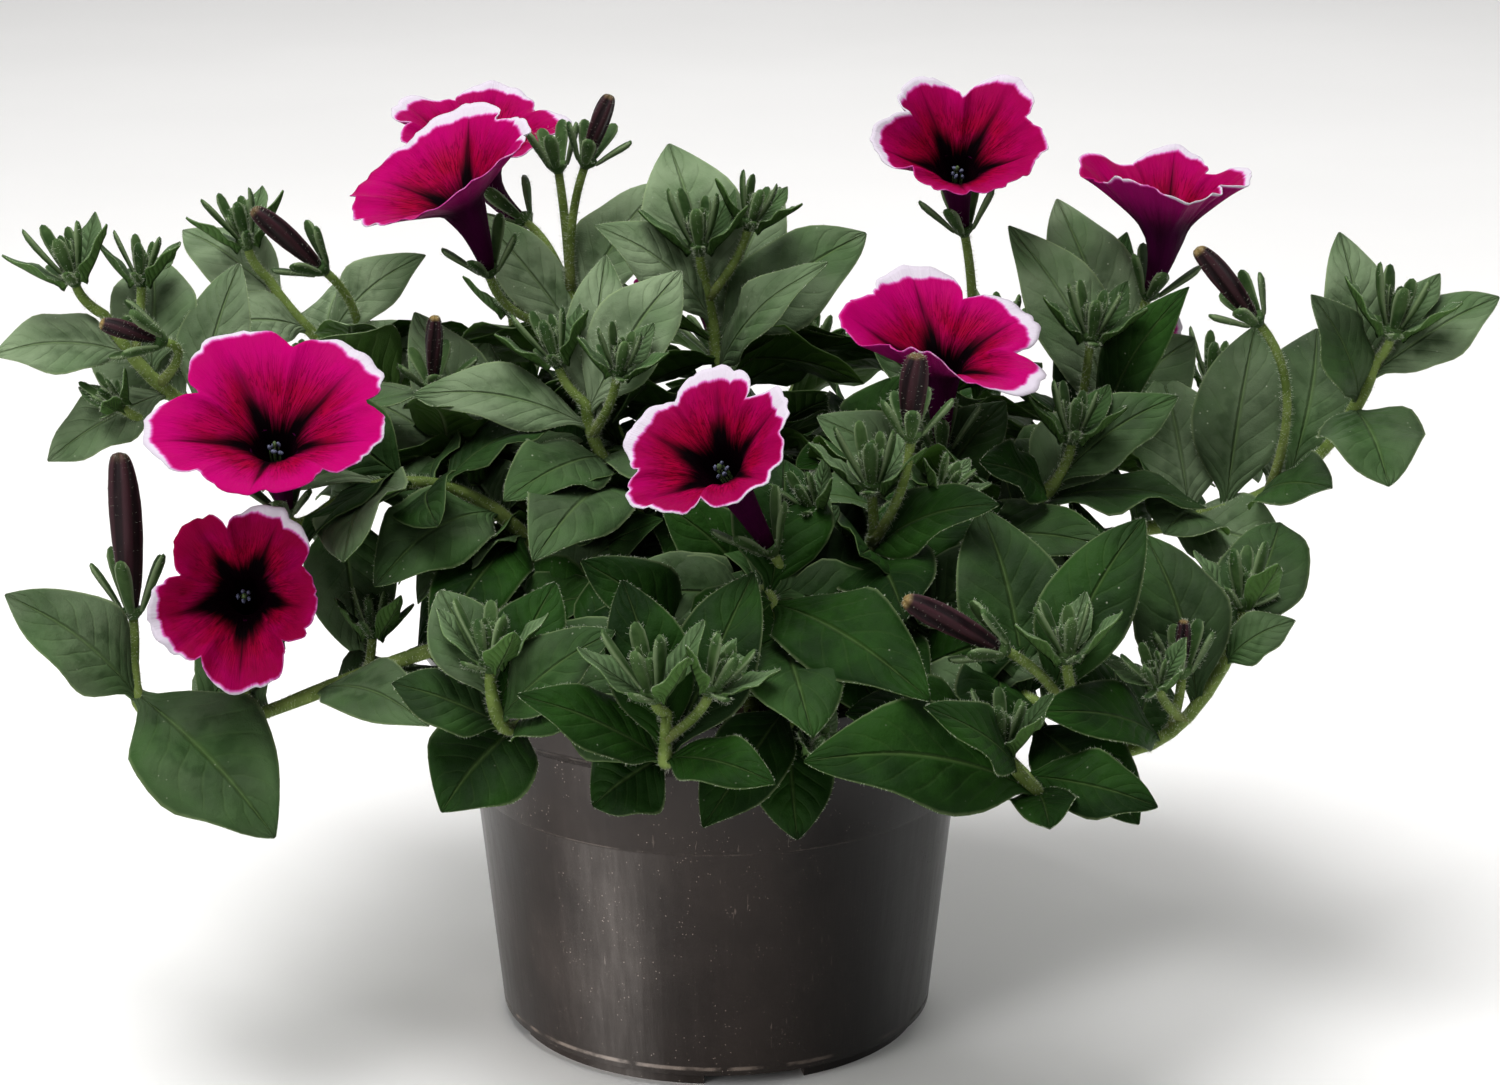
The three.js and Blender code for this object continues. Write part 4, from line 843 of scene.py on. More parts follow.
def bendFinger(heap, base, way, inward, length, width, tone, curl):
    # a rounded, slightly hollow finger that grows along a way and curls back from the shoot
    make = fingerShape
    x, y, z = fingerForm["points"].T
    along = (z + 1) / 2
    inner, side = squareTo(way, inward)
    reach = np.sqrt(np.maximum(0, 1 - z * z))
    around, depthward = (np.where(reach > 0.001, value / np.maximum(reach, 0.001), 0) for value in (x, y))
    cap = np.sqrt(np.clip(1 - (np.maximum(along - make["tip"], 0) / (1 - make["tip"])) ** 2, 0, 1))
    fuller = make["foot"] + (1 - make["foot"]) * smooth(along, *make["widest"])
    swell = cap * fuller * np.sqrt(np.clip(along / make["blunt"], 0, 1))
    thick = width * make["thick"] * swell * np.where(depthward > 0, make["inside"], 1) * depthward
    hollow = make["hollow"] * width * swell * np.where(depthward > 0, 1, 0)
    back = -curl * length * along ** 2
    points = (base + np.outer(along * length, way) + np.outer(swell * width / 2 * around, side)
              + np.outer(thick + hollow + back, inner))
    mark = np.column_stack((np.abs(around), along, np.zeros(len(along))))
    pile(heap, points, fingerForm, calyxSlot, mark, (tone, make["youth"], 0))
    outer = (depthward < 0.35) & (along > make["hairsAbove"])
    away = np.outer(around, side) + np.outer(depthward, inner) + np.outer(along * make["hairsLean"], way)
    heap["fingers"].append((points[outer], away[outer]))


def sweepTube(heap, path, radii, slot, tone, sides, redness=0.0):
    # a round stem along a line of points, closed at both ends
    path = np.asarray(path)
    ways = unitRows(np.gradient(path, axis=0))
    turn = 2 * math.pi * np.arange(sides) / sides
    first = vec(*ringStart)
    rings, outs = [], []
    for point, way, radius in zip(path, ways, radii):
        first, second = squareTo(way, first)
        outs.append(ringWays(turn, first, second))
        rings.append(point + outs[-1] * radius)
    count = len(path)
    points = np.concatenate(rings + [path[:1], path[-1:]])
    j = np.arange(sides)
    k = (j + 1) % sides
    quads = [np.column_stack((r * sides + j, r * sides + k, (r + 1) * sides + k, (r + 1) * sides + j))
             for r in range(count - 1)]
    low = np.column_stack((np.full(sides, count * sides), k, j))
    last = (count - 1) * sides
    high = np.column_stack((np.full(sides, count * sides + 1), last + j, last + k))
    share = np.append(np.repeat(np.linspace(0, 1, count), sides), (0, 1))
    mark = np.column_stack((np.zeros(len(points)), share, redness * smooth(share, 0.5, 0.0)))
    form = {"quads": np.concatenate(quads), "tris": np.concatenate((low, high))}
    pile(heap, points, form, slot, mark, (tone, 0, 0))
    heap["tubes"].append((np.array(rings), np.array(outs), ways))


# hairs on stems, fingers, leaf margins and buds

def addHairs(heap, roots, ways, lengths, rng, radius, slot=hairSlot):
    # thin closed spikes, each with three sides and a foot
    count = len(roots)
    if not count:
        return
    ways = unitRows(ways)
    aside = unitRows(np.cross(ways, rng.normal(size=(count, 3))))
    other = np.cross(ways, aside)
    feet = roots - ways * down["foot"]
    spokes = [math.cos(a) * aside + math.sin(a) * other for a in (0, 2.0944, 4.1888)]
    tips = roots + ways * np.asarray(lengths)[:, None]
    points = np.stack([feet + radius * spoke for spoke in spokes] + [tips], axis=1)
    first = np.arange(count)[:, None, None] * 4
    tris = (first + np.array([(0, 1, 3), (1, 2, 3), (2, 0, 3), (0, 2, 1)])).reshape(-1, 3)
    form = {"quads": np.empty((0, 4), int), "tris": tris}
    pile(heap, points.reshape(-1, 3), form, slot, (0, 0, 0), (0.5, 0, 0))


def between(rows, k, share):
    return rows[k] * (1 - share) + rows[k + 1] * share


def strayed(ways, rng, stray):
    return ways + rng.normal(size=ways.shape) * stray


def hairTube(heap, tube, rng):
    rings, outs, ways = tube
    make = down["stem"]
    sides = rings.shape[1]
    length = np.linalg.norm(np.diff(rings.mean(axis=1), axis=0), axis=1)
    count = int(length.sum() * make["perMm"])
    at = np.searchsorted(np.cumsum(length) / length.sum(), rng.uniform(0, 0.999, count))
    share = rng.uniform(0, 1, count)[:, None]
    j = rng.integers(0, sides, count)
    roots = rings[at, j] * (1 - share) + rings[at + 1, j] * share
    roots = roots + (rings[at, (j + 1) % sides] - rings[at, j]) * rng.uniform(0, 1, count)[:, None]
    lean = strayed(outs[at, j] + ways[at] * rng.uniform(-0.1, 0.5, count)[:, None], rng, make["stray"])
    above = roots[:, 2] > down["lowest"]
    lengths = rng.uniform(*make["length"], count) * make["scale"]
    addHairs(heap, roots[above], lean[above], lengths[above], rng, make["radius"])


def hairFinger(heap, points, away, rng):
    # roots are spread between neighbouring points, so that they form no tufts
    make = down["finger"]
    take = rng.integers(0, len(points) - 1, make["count"])
    take = take[np.linalg.norm(points[take + 1] - points[take], axis=1) < 2.5]
    roots = between(points, take, rng.uniform(0, 1, len(take))[:, None])
    roots = strayed(roots, rng, make["spread"])
    lean = strayed(away[take], rng, make["stray"])
    addHairs(heap, roots, lean, rng.uniform(*make["length"], len(take)), rng, make["radius"])


def hairMargins(heap, points, away, count, rng):
    make = down["margin"]
    for row, out in ((points[0::2], away[0::2]), (points[1::2], away[1::2])):
        at = np.sort(rng.uniform(0, len(row) - 1.001, count))
        k = at.astype(int)
        roots = between(row, k, (at - k)[:, None])
        lean = strayed(out[k], rng, make["stray"])
        addHairs(heap, roots, lean, rng.uniform(*make["length"], len(k)) * make["scale"], rng,
                 make["radius"])


def growDown(heap, rng):
    # the stem's own tube comes first, then those of its stalks and calyces
    tubes = heap["tubes"]
    for tube in (tubes[-1], *tubes[:-1]):
        hairTube(heap, tube, rng)
    for points, away in heap["fingers"]:
        hairFinger(heap, points, away, rng)
    for points, away, count in heap["brims"]:
        if count:
            hairMargins(heap, points, away, count, rng)


# the plant in mm: where each stem stands in the mix, two guides that bend it, its tip, the number of
# leaves that a rule adds, then its leaves (place along it, tip, width) and shoots (place, tip, size)
stemKeys = ("root", "lift", "reach", "tip", "fill", "leaves", "shoots")
stemRows = {
    "stem_left_upper": ((-30, 8), (-62, 8, 154), (-124, 4, 128), (-150, 5, 180), 3, [
        (0.93, -176, -4, 173, 20), (0.84, -162, -10, 146, 18), (0.88, -141, 28, 190, 22),
        (0.78, -118, 18, 190, 18), (0.72, -132, -22, 150, 20),
    ], [(1, -160, 3, 200, 1.2), (0.92, -141, 12, 196, 0.95), (0.75, -150, -8, 165, 0.75)]),
    "stem_left_back": ((-24, 22), (-50, 40, 150), (-96, 58, 140), (-116, 60, 176), 3, [
        (0.86, -134, 42, 166, 22), (0.8, -77, 46, 184, 18), (0.93, -140, 76, 186, 20),
        (0.7, -92, 30, 172, 20), (0.5, -60, 60, 160, 24), (0.6, -96, 62, 168, 22),
    ], [(1, -124, 60, 196, 1.15)]),
    "stem_left_middle": ((-32, -6), (-44, -10, 142), (-74, -16, 152), (-96, -18, 136), 2, [
        (0.4, -80, -46, 128, 25), (0.93, -86, -28, 102, 23), (0.78, -118, 8, 150, 22),
        (0.3, -66, -56, 114, 22),
    ], []),
    "stem_left_lower": ((-34, -21), (-55, -45, 140), (-140, -60, 60), (-139, -43, 106), 1, [
        (0.93, -166, -54, 127, 24), (0.94, -103, -73, 74, 34), (0.5, -66, -80, 104, 18),
        (0.72, -98, -20, 122, 20),
    ], [(0.42, -82, -32, 118, 0.85)]),
    "stem_top_left": ((-12, 30), (-16, 46, 130), (-36, 58, 145), (-38, 60, 176), 4, [
        (0.78, -52, 74, 196, 18), (0.9, -14, 72, 200, 22),
    ], []),
    "stem_centre_left": ((-10, 6), (-12, 8, 130), (-30, 5, 135), (-32, 3, 158), 2, [
        (0.9, -74, -2, 162, 18), (0.75, -50, -32, 144, 22), (0.6, -42, -52, 136, 27),
        (0.96, -9, 16, 189, 22), (0.83, -38, 26, 190, 18),
    ], [(1, -42, 6, 178, 1.1), (0.87, -22, -8, 177, 1)]),
    "stem_centre_bud": ((-20, 13), (-28, 15, 128), (-60, 15, 128), (-69, 14, 146), 3, [
        (0.92, -60, -2, 166, 22), (0.82, -96, 30, 154, 20), (0.72, -76, 34, 174, 22),
    ], []),
    "stem_top_centre": ((2, 30), (4, 38, 130), (2, 46, 150), (-3, 44, 180), 4, [
        (0.9, -14, 58, 212, 28), (0.8, 38, 56, 190, 27), (0.7, 26, 20, 190, 18), (0.86, -30, 34, 196, 20),
        (0.76, 17, 66, 202, 20), (0.15, -34, -10, 125, 26),
    ], [(1, -5, 40, 200, 1.25), (0.94, 11, 44, 203, 1)]),
    "stem_top_right": ((15, 26), (24, 40, 135), (60, 50, 130), (66, 50, 164), 5, [
        (0.7, 40, 28, 166, 24), (0.4, 52, 26, 160, 22),
    ], []),
    "stem_centre_front": ((8, -16), (16, -30, 125), (24, -52, 105), (20, -60, 124), 3, [
        (0.9, -8, -66, 124, 20), (0.7, 44, -50, 128, 22), (0.35, -12, -40, 146, 24),
        (0.45, 24, -38, 152, 22),
    ], []),
    "stem_centre_right": ((12, -3), (26, -14, 130), (36, -40, 118), (38, -46, 141), 1, [
        (0.8, 44, -82, 130, 25), (0.84, 69, -46, 156, 20), (0.6, 70, -20, 140, 20),
    ], [(1, 37, -49, 163, 1.25), (0.87, 20, -50, 153, 0.85), (0.76, 57, -44, 155, 0.8)]),
    "stem_right_inner": ((20, 8), (36, 6, 130), (54, 2, 125), (56, 3, 138), 3, [
        (0.85, 26, 0, 156, 22), (0.72, 72, 14, 156, 20),
    ], []),
    "stem_right_back": ((30, 18), (54, 24, 150), (95, 26, 110), (107, 32, 160), 3, [
        (0.96, 91, 54, 202, 24), (0.87, 76, 42, 195, 24), (0.82, 113, 6, 186, 18), (0.76, 122, 42, 165, 28),
        (0.7, 106, 62, 188, 20), (0.42, 98, 0, 146, 24),
    ], [(0.7, 94, 14, 182, 1.15)]),
    "stem_right_small": ((27, -2), (40, -4, 130), (78, -6, 122), (86, -8, 146), 2, [
        (0.9, 113, -16, 161, 18), (0.87, 64, -22, 150, 18), (0.8, 100, 16, 156, 22), (0.5, 95, -30, 132, 22),
    ], [(1, 88, -10, 163, 1.1)]),
    "stem_far_right": ((40, 8), (64, 10, 140), (145, 12, 100), (163, 6, 168), 2, [
        (0.93, 163, -22, 145, 27), (0.97, 156, 18, 198, 18), (0.94, 143, 0, 187, 18),
        (0.98, 193, 5, 184, 20), (0.72, 150, -16, 142, 22), (0.78, 153, 40, 168, 26),
        (0.62, 110, -14, 130, 24), (0.66, 136, 30, 171, 24), (0.56, 136, -14, 124, 24),
        (0.6, 120, 34, 158, 24),
    ], [(1, 168, 2, 188, 1.3)]),
    "stem_right_lower": ((34, -22), (42, -52, 150), (88, -116, 58), (124, -54, 118), 0, [
        (0.97, 149, -22, 134, 22), (0.9, 102, -48, 140, 24), (0.96, 136, -62, 123, 13),
        (0.82, 74, -100, 114, 20), (0.55, 97, -100, 87, 24),
    ], [(1, 126, -49, 134, 1.15), (0.87, 100, -82, 120, 0.85)]),
    "stem_front_right": ((22, -32), (36, -62, 140), (94, -112, 72), (66, -110, 106), 1, [
        (0.86, 21, -126, 112, 28), (0.97, 44, -126, 125, 16), (0.76, 75, -122, 94, 16),
        (0.68, 98, -114, 95, 18),
    ], [(1, 65, -111, 119, 1.05)]),
    "stem_front": ((-3, -34), (-6, -62, 142), (-12, -116, 78), (-10, -110, 117), 0, [
        (0.84, 14, -131, 108, 15), (0.88, -20, -94, 143, 20), (0.25, -30, -70, 140, 22),
        (0.84, 14, -94, 143, 22), (0.8, -42, -116, 124, 17), (0.7, -27, -107, 94, 23),
    ], [(1, -15, -114, 134, 1.3), (0.94, 4, -112, 132, 1.05)]),
    "stem_front_left": ((-20, -30), (-28, -54, 140), (-46, -104, 84), (-50, -98, 120), 0, [
        (0.96, -60, -84, 138, 18), (0.92, -38, -82, 141, 18), (0.88, -24, -97, 138, 19),
        (0.84, -72, -98, 120, 18), (0.68, -61, -107, 93, 28), (0.76, -28, -114, 117, 17),
    ], [(1, -50, -98, 135, 1.15)]),
    "stem_right_front": ((26, -13), (44, -36, 142), (80, -90, 92), (82, -87, 114), 1, [
        (0.7, 63, -50, 147, 26), (0.8, 100, -62, 148, 22), (0.88, 104, -98, 118, 16),
    ], [(1, 80, -88, 133, 1.1)]),
    "stem_front_inner": ((9, -36), (9, -52, 150), (17, -82, 130), (18, -92, 104), 0, [
        (0.55, 48, -116, 123, 26), (0.94, 23, -102, 84, 20), (0.9, -2, -108, 89, 20),
        (0.7, 10, -122, 117, 26),
    ], [(1, 26, -100, 108, 0.7)]),
    "stem_back_left": ((-16, 44), (-22, 60, 140), (-50, 110, 120), (-56, 122, 146), 5, [],
        [(1, -58, 125, 162, 1.1)]),
    "stem_back": ((2, 46), (4, 66, 140), (12, 118, 110), (22, 124, 132), 5, [],
        [(1, 27, 128, 148, 1.1)]),
    "stem_back_right": ((20, 40), (30, 60, 140), (70, 105, 115), (76, 112, 140), 5, [],
        [(1, 78, 116, 156, 1.1)]),
    "stem_left_back_low": ((-34, 30), (-54, 48, 138), (-104, 88, 112), (-112, 92, 134), 5, [],
        [(1, -114, 94, 150, 1.1)]),
    "stem_right_back_low": ((40, 26), (62, 44, 138), (120, 80, 110), (130, 84, 136), 5, [],
        [(1, 133, 86, 152, 1.1)]),
}
leafyStems = {name: dict(zip(stemKeys, row)) for name, row in stemRows.items()}

# each bloom: its stem and place on it, the calyx, the middle of the rim, the azimuth and height angle
# that it faces, its width, how deep the throat lies and how red it is, redness also darkening the face and
# widening the dark throat, partly as painted shade; the brim goes round by lobe and notch in turn: angle,
# reach, rise and width of the white margin
bloomKeys = ("stem", "at", "calyx", "rim", "face", "across", "cup", "red", "brim")
bloomRows = {
    "corolla_left_large": (
        "stem_left_middle", 1, (-103, -27, 140), (-104, -42, 169), (-88, 60), 59, 13, 0.1, [
        (28, 30.4, 12.6, 2.8), (67, 20, 10.2, 0.5), (106, 31.8, 10.7, 3.6), (140, 26.3, 11.3, 1.5),
        (172, 28.7, 13.1, 0.6), (213, 26.4, 12.9, 1.2), (248, 29.2, 13.3, 2.2), (277, 23.7, 11.4, 0.6),
        (310, 30.6, 11.2, 4.4), (350, 23.3, 11.4, 0.5),
    ]),
    "corolla_left_small": (
        "stem_left_lower", 0.62, (-112, -43, 104), (-111, -61, 128), (-90, 15), 46, 12, 1, [
        (29, 22.1, 10.5, 0.5), (69, 15.2, 11, 0.5), (105, 22.6, 11.7, 3.9), (148, 17, 11.8, 1),
        (180, 23, 12, 2), (226, 15.5, 11.7, 0.6), (261, 19.1, 12, 1), (297, 18.2, 12.2, 0.6),
        (332, 24, 12.5, 4.4), (368, 17.7, 13.4, 0.8),
    ]),
    "corolla_centre": ("stem_centre_front", 1, (13, -62, 141), (-3, -75, 171), (-129, 50), 47, 12, 0.75, [
        (23, 23.2, 10, 5), (56, 17.8, 10.2, 2.6), (91, 20.8, 11.6, 4.4), (135, 16.7, 11.2, 1.2),
        (165, 22.8, 13.3, 2.4), (213, 19.5, 11.1, 1.3), (253, 25.7, 11.8, 2.3), (285, 22.6, 12.7, 1.5),
        (314, 22.9, 11.7, 5.2), (346, 16, 8.7, 1.5),
    ]),
    "corolla_right_middle": ("stem_right_inner", 1, (56, 3, 147), (55, -5, 179), (-95, 68), 53, 12, 0.1, [
        (19, 28.7, 13, 5.6), (54, 21.9, 12.8, 1.4), (82, 25.6, 15.6, 1.4), (133, 17.6, 15, 0.8),
        (168, 18.4, 20.2, 1.5), (204, 24.5, 10.5, 1.1), (233, 31.1, 7.6, 5), (262, 19.8, 5.5, 1),
        (298, 26.3, 6.8, 5.4), (344, 18.4, 8.6, 0.9),
    ]),
    "corolla_top_right": ("stem_top_right", 1, (63, 50, 192), (61, 38, 218), (-90, 58), 46, 12, 0.7, [
        (27, 23.1, 13.7, 3.6), (63, 14.8, 15.1, 2.4), (104, 23.3, 13.6, 4.4), (137, 19.1, 13.9, 0.8),
        (182, 22.6, 13.3, 1), (223, 23.3, 13.8, 0.8), (253, 23, 14.2, 1.6), (288, 18.1, 13.7, 1),
        (323, 25.8, 13.9, 3.8), (354, 16.1, 10.9, 1.2),
    ]),
    "corolla_right_side": ("stem_right_back", 1, (110, 38, 178), (113, 35, 208), (-90, 86), 45, 14, 0.6, [
        (-11, 24.2, 17, 3.8), (24, 18.1, 12.7, 1.6), (55, 24.5, 17.9, 2), (95, 19.5, 13.8, 0.5),
        (133, 17.5, 18.4, 2), (165, 18.3, 16.3, 1), (191, 20.4, 14.1, 3), (236, 16, 14.2, 1.6),
        (276, 22.4, 16, 3.4), (312, 14.8, 12.1, 0.6),
    ]),
    "corolla_top_left_front": (
        "stem_top_left", 0.84, (-58, 42, 183), (-69, 32, 212), (-147, 60), 55, 13, 0.3, [
        (38, 28.6, 13.5, 6), (77, 23.3, 12.9, 3.6), (114, 26.6, 11.5, 0.6), (147, 25, 14.1, 1.2),
        (183, 26.6, 14.2, 2), (214, 25.8, 13.6, 1), (258, 25.5, 16.1, 1.3), (301, 28, 14.7, 1.6),
        (326, 25.4, 12.6, 4.5), (364, 20.5, 11.9, 1.4),
    ]),
    "corolla_top_left_back": (
        "stem_top_left", 0.92, (-51, 76, 188), (-62, 85, 213), (-90, 76), 48, 12, 0.5, [
        (-7, 25.1, 12.3, 4.6), (27, 18, 9.5, 1), (62, 26.1, 12.9, 4.4), (98, 20.2, 12.2, 1.2),
        (134, 24, 12, 1.5), (170, 20.2, 12, 1), (206, 24, 11.9, 1.5), (242, 20.2, 11.6, 1),
        (277, 24.2, 10.4, 4.4), (311, 18.5, 8.2, 1),
    ]),
    "corolla_back": ("stem_back", 0.8, (0, 103, 146), (-2, 120, 166), (95, 48), 50, 12, 0.3, [
        (8, 25.9, 13.8, 2.2), (48, 18.1, 11.7, 0.8), (79, 25.6, 14.2, 3.4), (113, 19.1, 12.3, 1.2),
        (154, 25.4, 13, 1.4), (184, 20.2, 11.6, 0.7), (222, 26.3, 13.7, 1.8), (258, 20.3, 11.1, 0.8),
        (299, 24.3, 11, 2.8), (328, 18.6, 11.3, 1.2),
    ]),
    "corolla_back_right": ("stem_back_right", 0.86, (95, 98, 138), (106, 110, 155), (50, 44), 48, 12, 0.6, [
        (22, 25.1, 12, 1.4), (59, 18.8, 12, 0.7), (95, 23.5, 14.4, 2.8), (131, 20.1, 12.3, 1),
        (168, 23.1, 12.5, 3.6), (202, 18, 11.5, 1.2), (236, 24.5, 13.5, 1.5), (273, 18.2, 12.2, 0.8),
        (315, 24.7, 11.6, 2), (351, 19.3, 11.1, 0.9),
    ]),
}
blooms = {name: dict(zip(bloomKeys, row)) for name, row in bloomRows.items()}

# each bud: its stem and place on it, its calyx, its tip, the spread of its sepals, its radius, how pale
# its tip is and how long its sepals are against a bloom's
budKeys = ("stem", "at", "calyx", "tip", "spread", "radius", "tinge", "sepals")
budRows = {
    "bud_left_tall": ("stem_left_lower", 1, (-139, -41, 119), (-141, -38, 157), 26, 4.1, 0.08, 1.2),
    "bud_left_upper": ("stem_left_upper", 0.86, (-136, -4, 176), (-149, -8, 181), 26, 2.4, 0.8, 0.85),
    "bud_left_back": ("stem_left_back", 0.7, (-101, 44, 183), (-117, 39, 199), 30, 3, 0.3, 0.85),
    "bud_top_left": ("stem_top_left", 0.97, (-33, 58, 208), (-27, 56, 225), 34, 2.6, 0.25, 0.85),
    "bud_centre_left": ("stem_centre_bud", 1, (-70, 11, 161), (-69, 8, 179), 46, 2.3, 0.8, 0.85),
    "bud_centre_right": ("stem_centre_right", 0.93, (46, -56, 167), (47, -57, 186), 36, 3.5, 0.3, 0.85),
    "bud_right_upper": ("stem_far_right", 0.74, (132, 2, 180), (117, -1, 198), 32, 3, 0.6, 0.85),
    "bud_right_front": ("stem_right_front", 0.92, (65, -91, 126), (43, -96, 139), 26, 3.2, 0.6, 0.85),
    "bud_right_small": ("stem_right_lower", 0.84, (109, -70, 114), (109, -71, 126), 24, 1.9, 0.5, 0.85),
}
buds = {name: dict(zip(budKeys, row)) for name, row in budRows.items()}

# a calyx whose corolla has dropped
spentCalyx = {
    "stem": "stem_top_left", "at": 1, "calyx": (-41, 62, 206), "tip": (-42, 62, 213), "spread": 22,
    "sepals": 0.85,
}


# how stems, leaves, calyces and shoots are made, in mm and degrees
stemMake = {
    "foot": 79, "start": 95, "steps": 5, "rings": 26, "radius": 2.0, "tipRadius": 1.3, "bend": 0.45,
    "swell": (0.16, 0.9), "most": 1.3, "stalk": 1.15, "stalkRings": 12, "stalkFoot": (0.45, 0.8),
    "red": 0.35, "stalkRed": 0.5, "stalkTone": 0.1, "tone": (0.3, 0.7), "seed": 100,
}
leafMake = {
    # the turns, lifts and sizes that the solid's leaves may have taken, for listed leaves and for the rule's
    "turns": (0, 8, -8, 16, -16, 26, -26), "lifts": (0, 8, -8, 16, -16),
    "ruleTurns": (0, 30, -30, 60, -60, 100, -100, 150), "ruleLifts": (0, 20, -20), "sizes": (1, 0.82),
    "steepest": (-75, 80), "facing": (0, -0.62, 0.78), "lean": 32, "near": 0.6,
    "margin": ((0.42, 0.5), (0.76, 0.36)), "draws": (0.37, 0.61803),
    "places": (0.28, 0.62), "turn": (45, 60), "length": (35, 12), "slope": (-12, 42), "width": 0.6,
    # painted light: leaves are made paler high up and at the outer left, less so to the right, and paler low
    # at the far right, as the light falls on them
    "tone": (-0.25, 0.3), "high": (110, 205), "outer": (40, 105), "outerLight": 0.6,
    "right": (0, 70), "rightLessPaintedLight": 0.5, "farRight": (85, 140), "lowRightPaintedLight": 0.6,
}
innerMake = {
    "leaves": 11, "places": (0.1, 0.8), "slope": (-30, 40), "length": (27, 40), "width": 0.62, "lean": 45,
    "tone": (0, 0.6), "middle": (0, 8, 128), "reach": (150, 105, 62), "lowest": 97, "front": (-62, 104),
    "clear": 5, "behind": 12, "fromTube": 16, "fromBud": 12, "spots": (0.3, 0.55, 0.8, 1),
}
calyxMake = {
    "sepal": 13, "shortShare": 0.86, "width": 3.9, "spread": 34, "rise": 2.6, "radius": 2.7,
    "hollow": 0.55, "foot": 0.8, "seat": 0.4, "sunk": 0.9, "curl": (0.02, 0.1), "tones": (-0.15, 0.15),
    "cup": ((0.0, 1.15), (0.25, 1.65), (0.5, 2.35), (0.75, 2.7), (1.0, 2.7), (1.12, 2.43)),
}
shootMake = {
    "depth": 11, "lift": 0.6, "rise": 2.6, "radius": 2.7, "apex": 4,
    "cup": ((0.0, 1.15), (0.35, 1.5), (0.7, 2.1), (1.0, 2.3), (1.3, 1.9), (1.5, 0.8)),
    "lean": (16, 5), "length": (9, 2), "width": 3.0, "sunk": 1.4, "curl": (-0.14, 0.04),
    "tones": (-0.2, 0.2),
    "innerLean": (4, 15), "innerLength": (5.5, 8.5), "innerWidth": (1.8, 2.4), "innerCurl": (-0.1, 0.04),
    "innerSunk": 1.6, "innerAside": 0.3, "innerTones": (-0.1, 0.25),
    "outerLean": (58, 76), "outerLength": (7.5, 9.5), "outerWidth": 2.6, "outerSunk": 1.8, "outerCurl": -0.1,
    "young": (14, 7.7), "youngLean": 44, "youngSunk": 0.8,
}


def stemGuides(stem):
    return [vec(*stem["root"], stemMake["start"]), *(vec(*stem[key]) for key in ("lift", "reach", "tip"))]


def stemSteps(stem):
    # the ends of the straight pieces that the solid's stem is made of
    return bezier(stemGuides(stem), np.linspace(0, 1, stemMake["steps"] + 1))


def pointOn(stem, place):
    k = min(int(place * stemMake["steps"]), stemMake["steps"] - 1)
    return between(stemSteps(stem), k, place * stemMake["steps"] - k)


def stalk(start, ending, shares):
    # the curve of a stalk that arrives along its ending's axis
    end = ending["neck"]
    bend = end - ending["axis"] * stemMake["bend"] * np.linalg.norm(end - start)
    return bezier([start, bend, end], shares)


def lastRing(path, radius, sides=5):
    # the ring that ends a line of points, turned as the solid's rings are
    first = vec(*ringStart)
    for i in range(len(path)):
        way = unit(path[min(i + 1, len(path) - 1)] - path[max(i - 1, 0)])
        first, second = squareTo(way, first)
    return path[-1] + radius * ringWays(2 * math.pi * np.arange(sides) / sides, first, second)


def nextRing(ring, axis, rise, radius):
    centre = ring.mean(axis=0)
    offset = ring - centre
    offset = unitRows(offset - np.outer(offset @ axis, axis)) * radius
    return centre + axis * rise + offset


def leanOut(middle, centre, axis, lean):
    outward = squareTo(axis, middle - centre)[0]
    return axis * math.cos(math.radians(lean)) + outward * math.sin(math.radians(lean))


def bloomAxes(bloom):
    normal = heading(*bloom["face"])
    base = vec(*bloom["calyx"])
    throat = vec(*bloom["rim"]) - normal * bloom["cup"]
    bend = throat - normal * stemMake["bend"] * np.linalg.norm(throat - base)
    return normal, base, throat, bend, unit(bend - base)


def calyxEnding(flower, base, axis, length):
    return {"make": addCalyx, "at": flower["at"], "base": base, "axis": axis, "length": length,
            "spread": flower.get("spread", calyxMake["spread"]), "neck": base - axis * calyxMake["rise"]}


def endingsOf(name, stem):
    # the calyces and shoots that the stem carries
    endings = []
    for bloom in blooms.values():
        if bloom["stem"] == name:
            _, base, _, _, axis = bloomAxes(bloom)
            endings.append(calyxEnding(bloom, base, axis, calyxMake["sepal"]))
    for bud in (*buds.values(), spentCalyx):
        if bud["stem"] == name:
            base = vec(*bud["calyx"])
            length = calyxMake["sepal"] * bud["sepals"]
            endings.append(calyxEnding(bud, base, unit(vec(*bud["tip"]) - base), length))
    for at, x, y, z, size in stem["shoots"]:
        end = vec(x, y, z)
        axis = unit(unit(end - pointOn(stem, at)) + upward * shootMake["lift"])
        endings.append({"make": addShoot, "at": at, "axis": axis, "size": size,
                        "neck": end - axis * shootMake["depth"] * size})
    return endings


def leaningUp(outward, lean):
    lean = math.radians(lean)
    return unit(outward) * math.sin(lean) + upward * math.cos(lean)


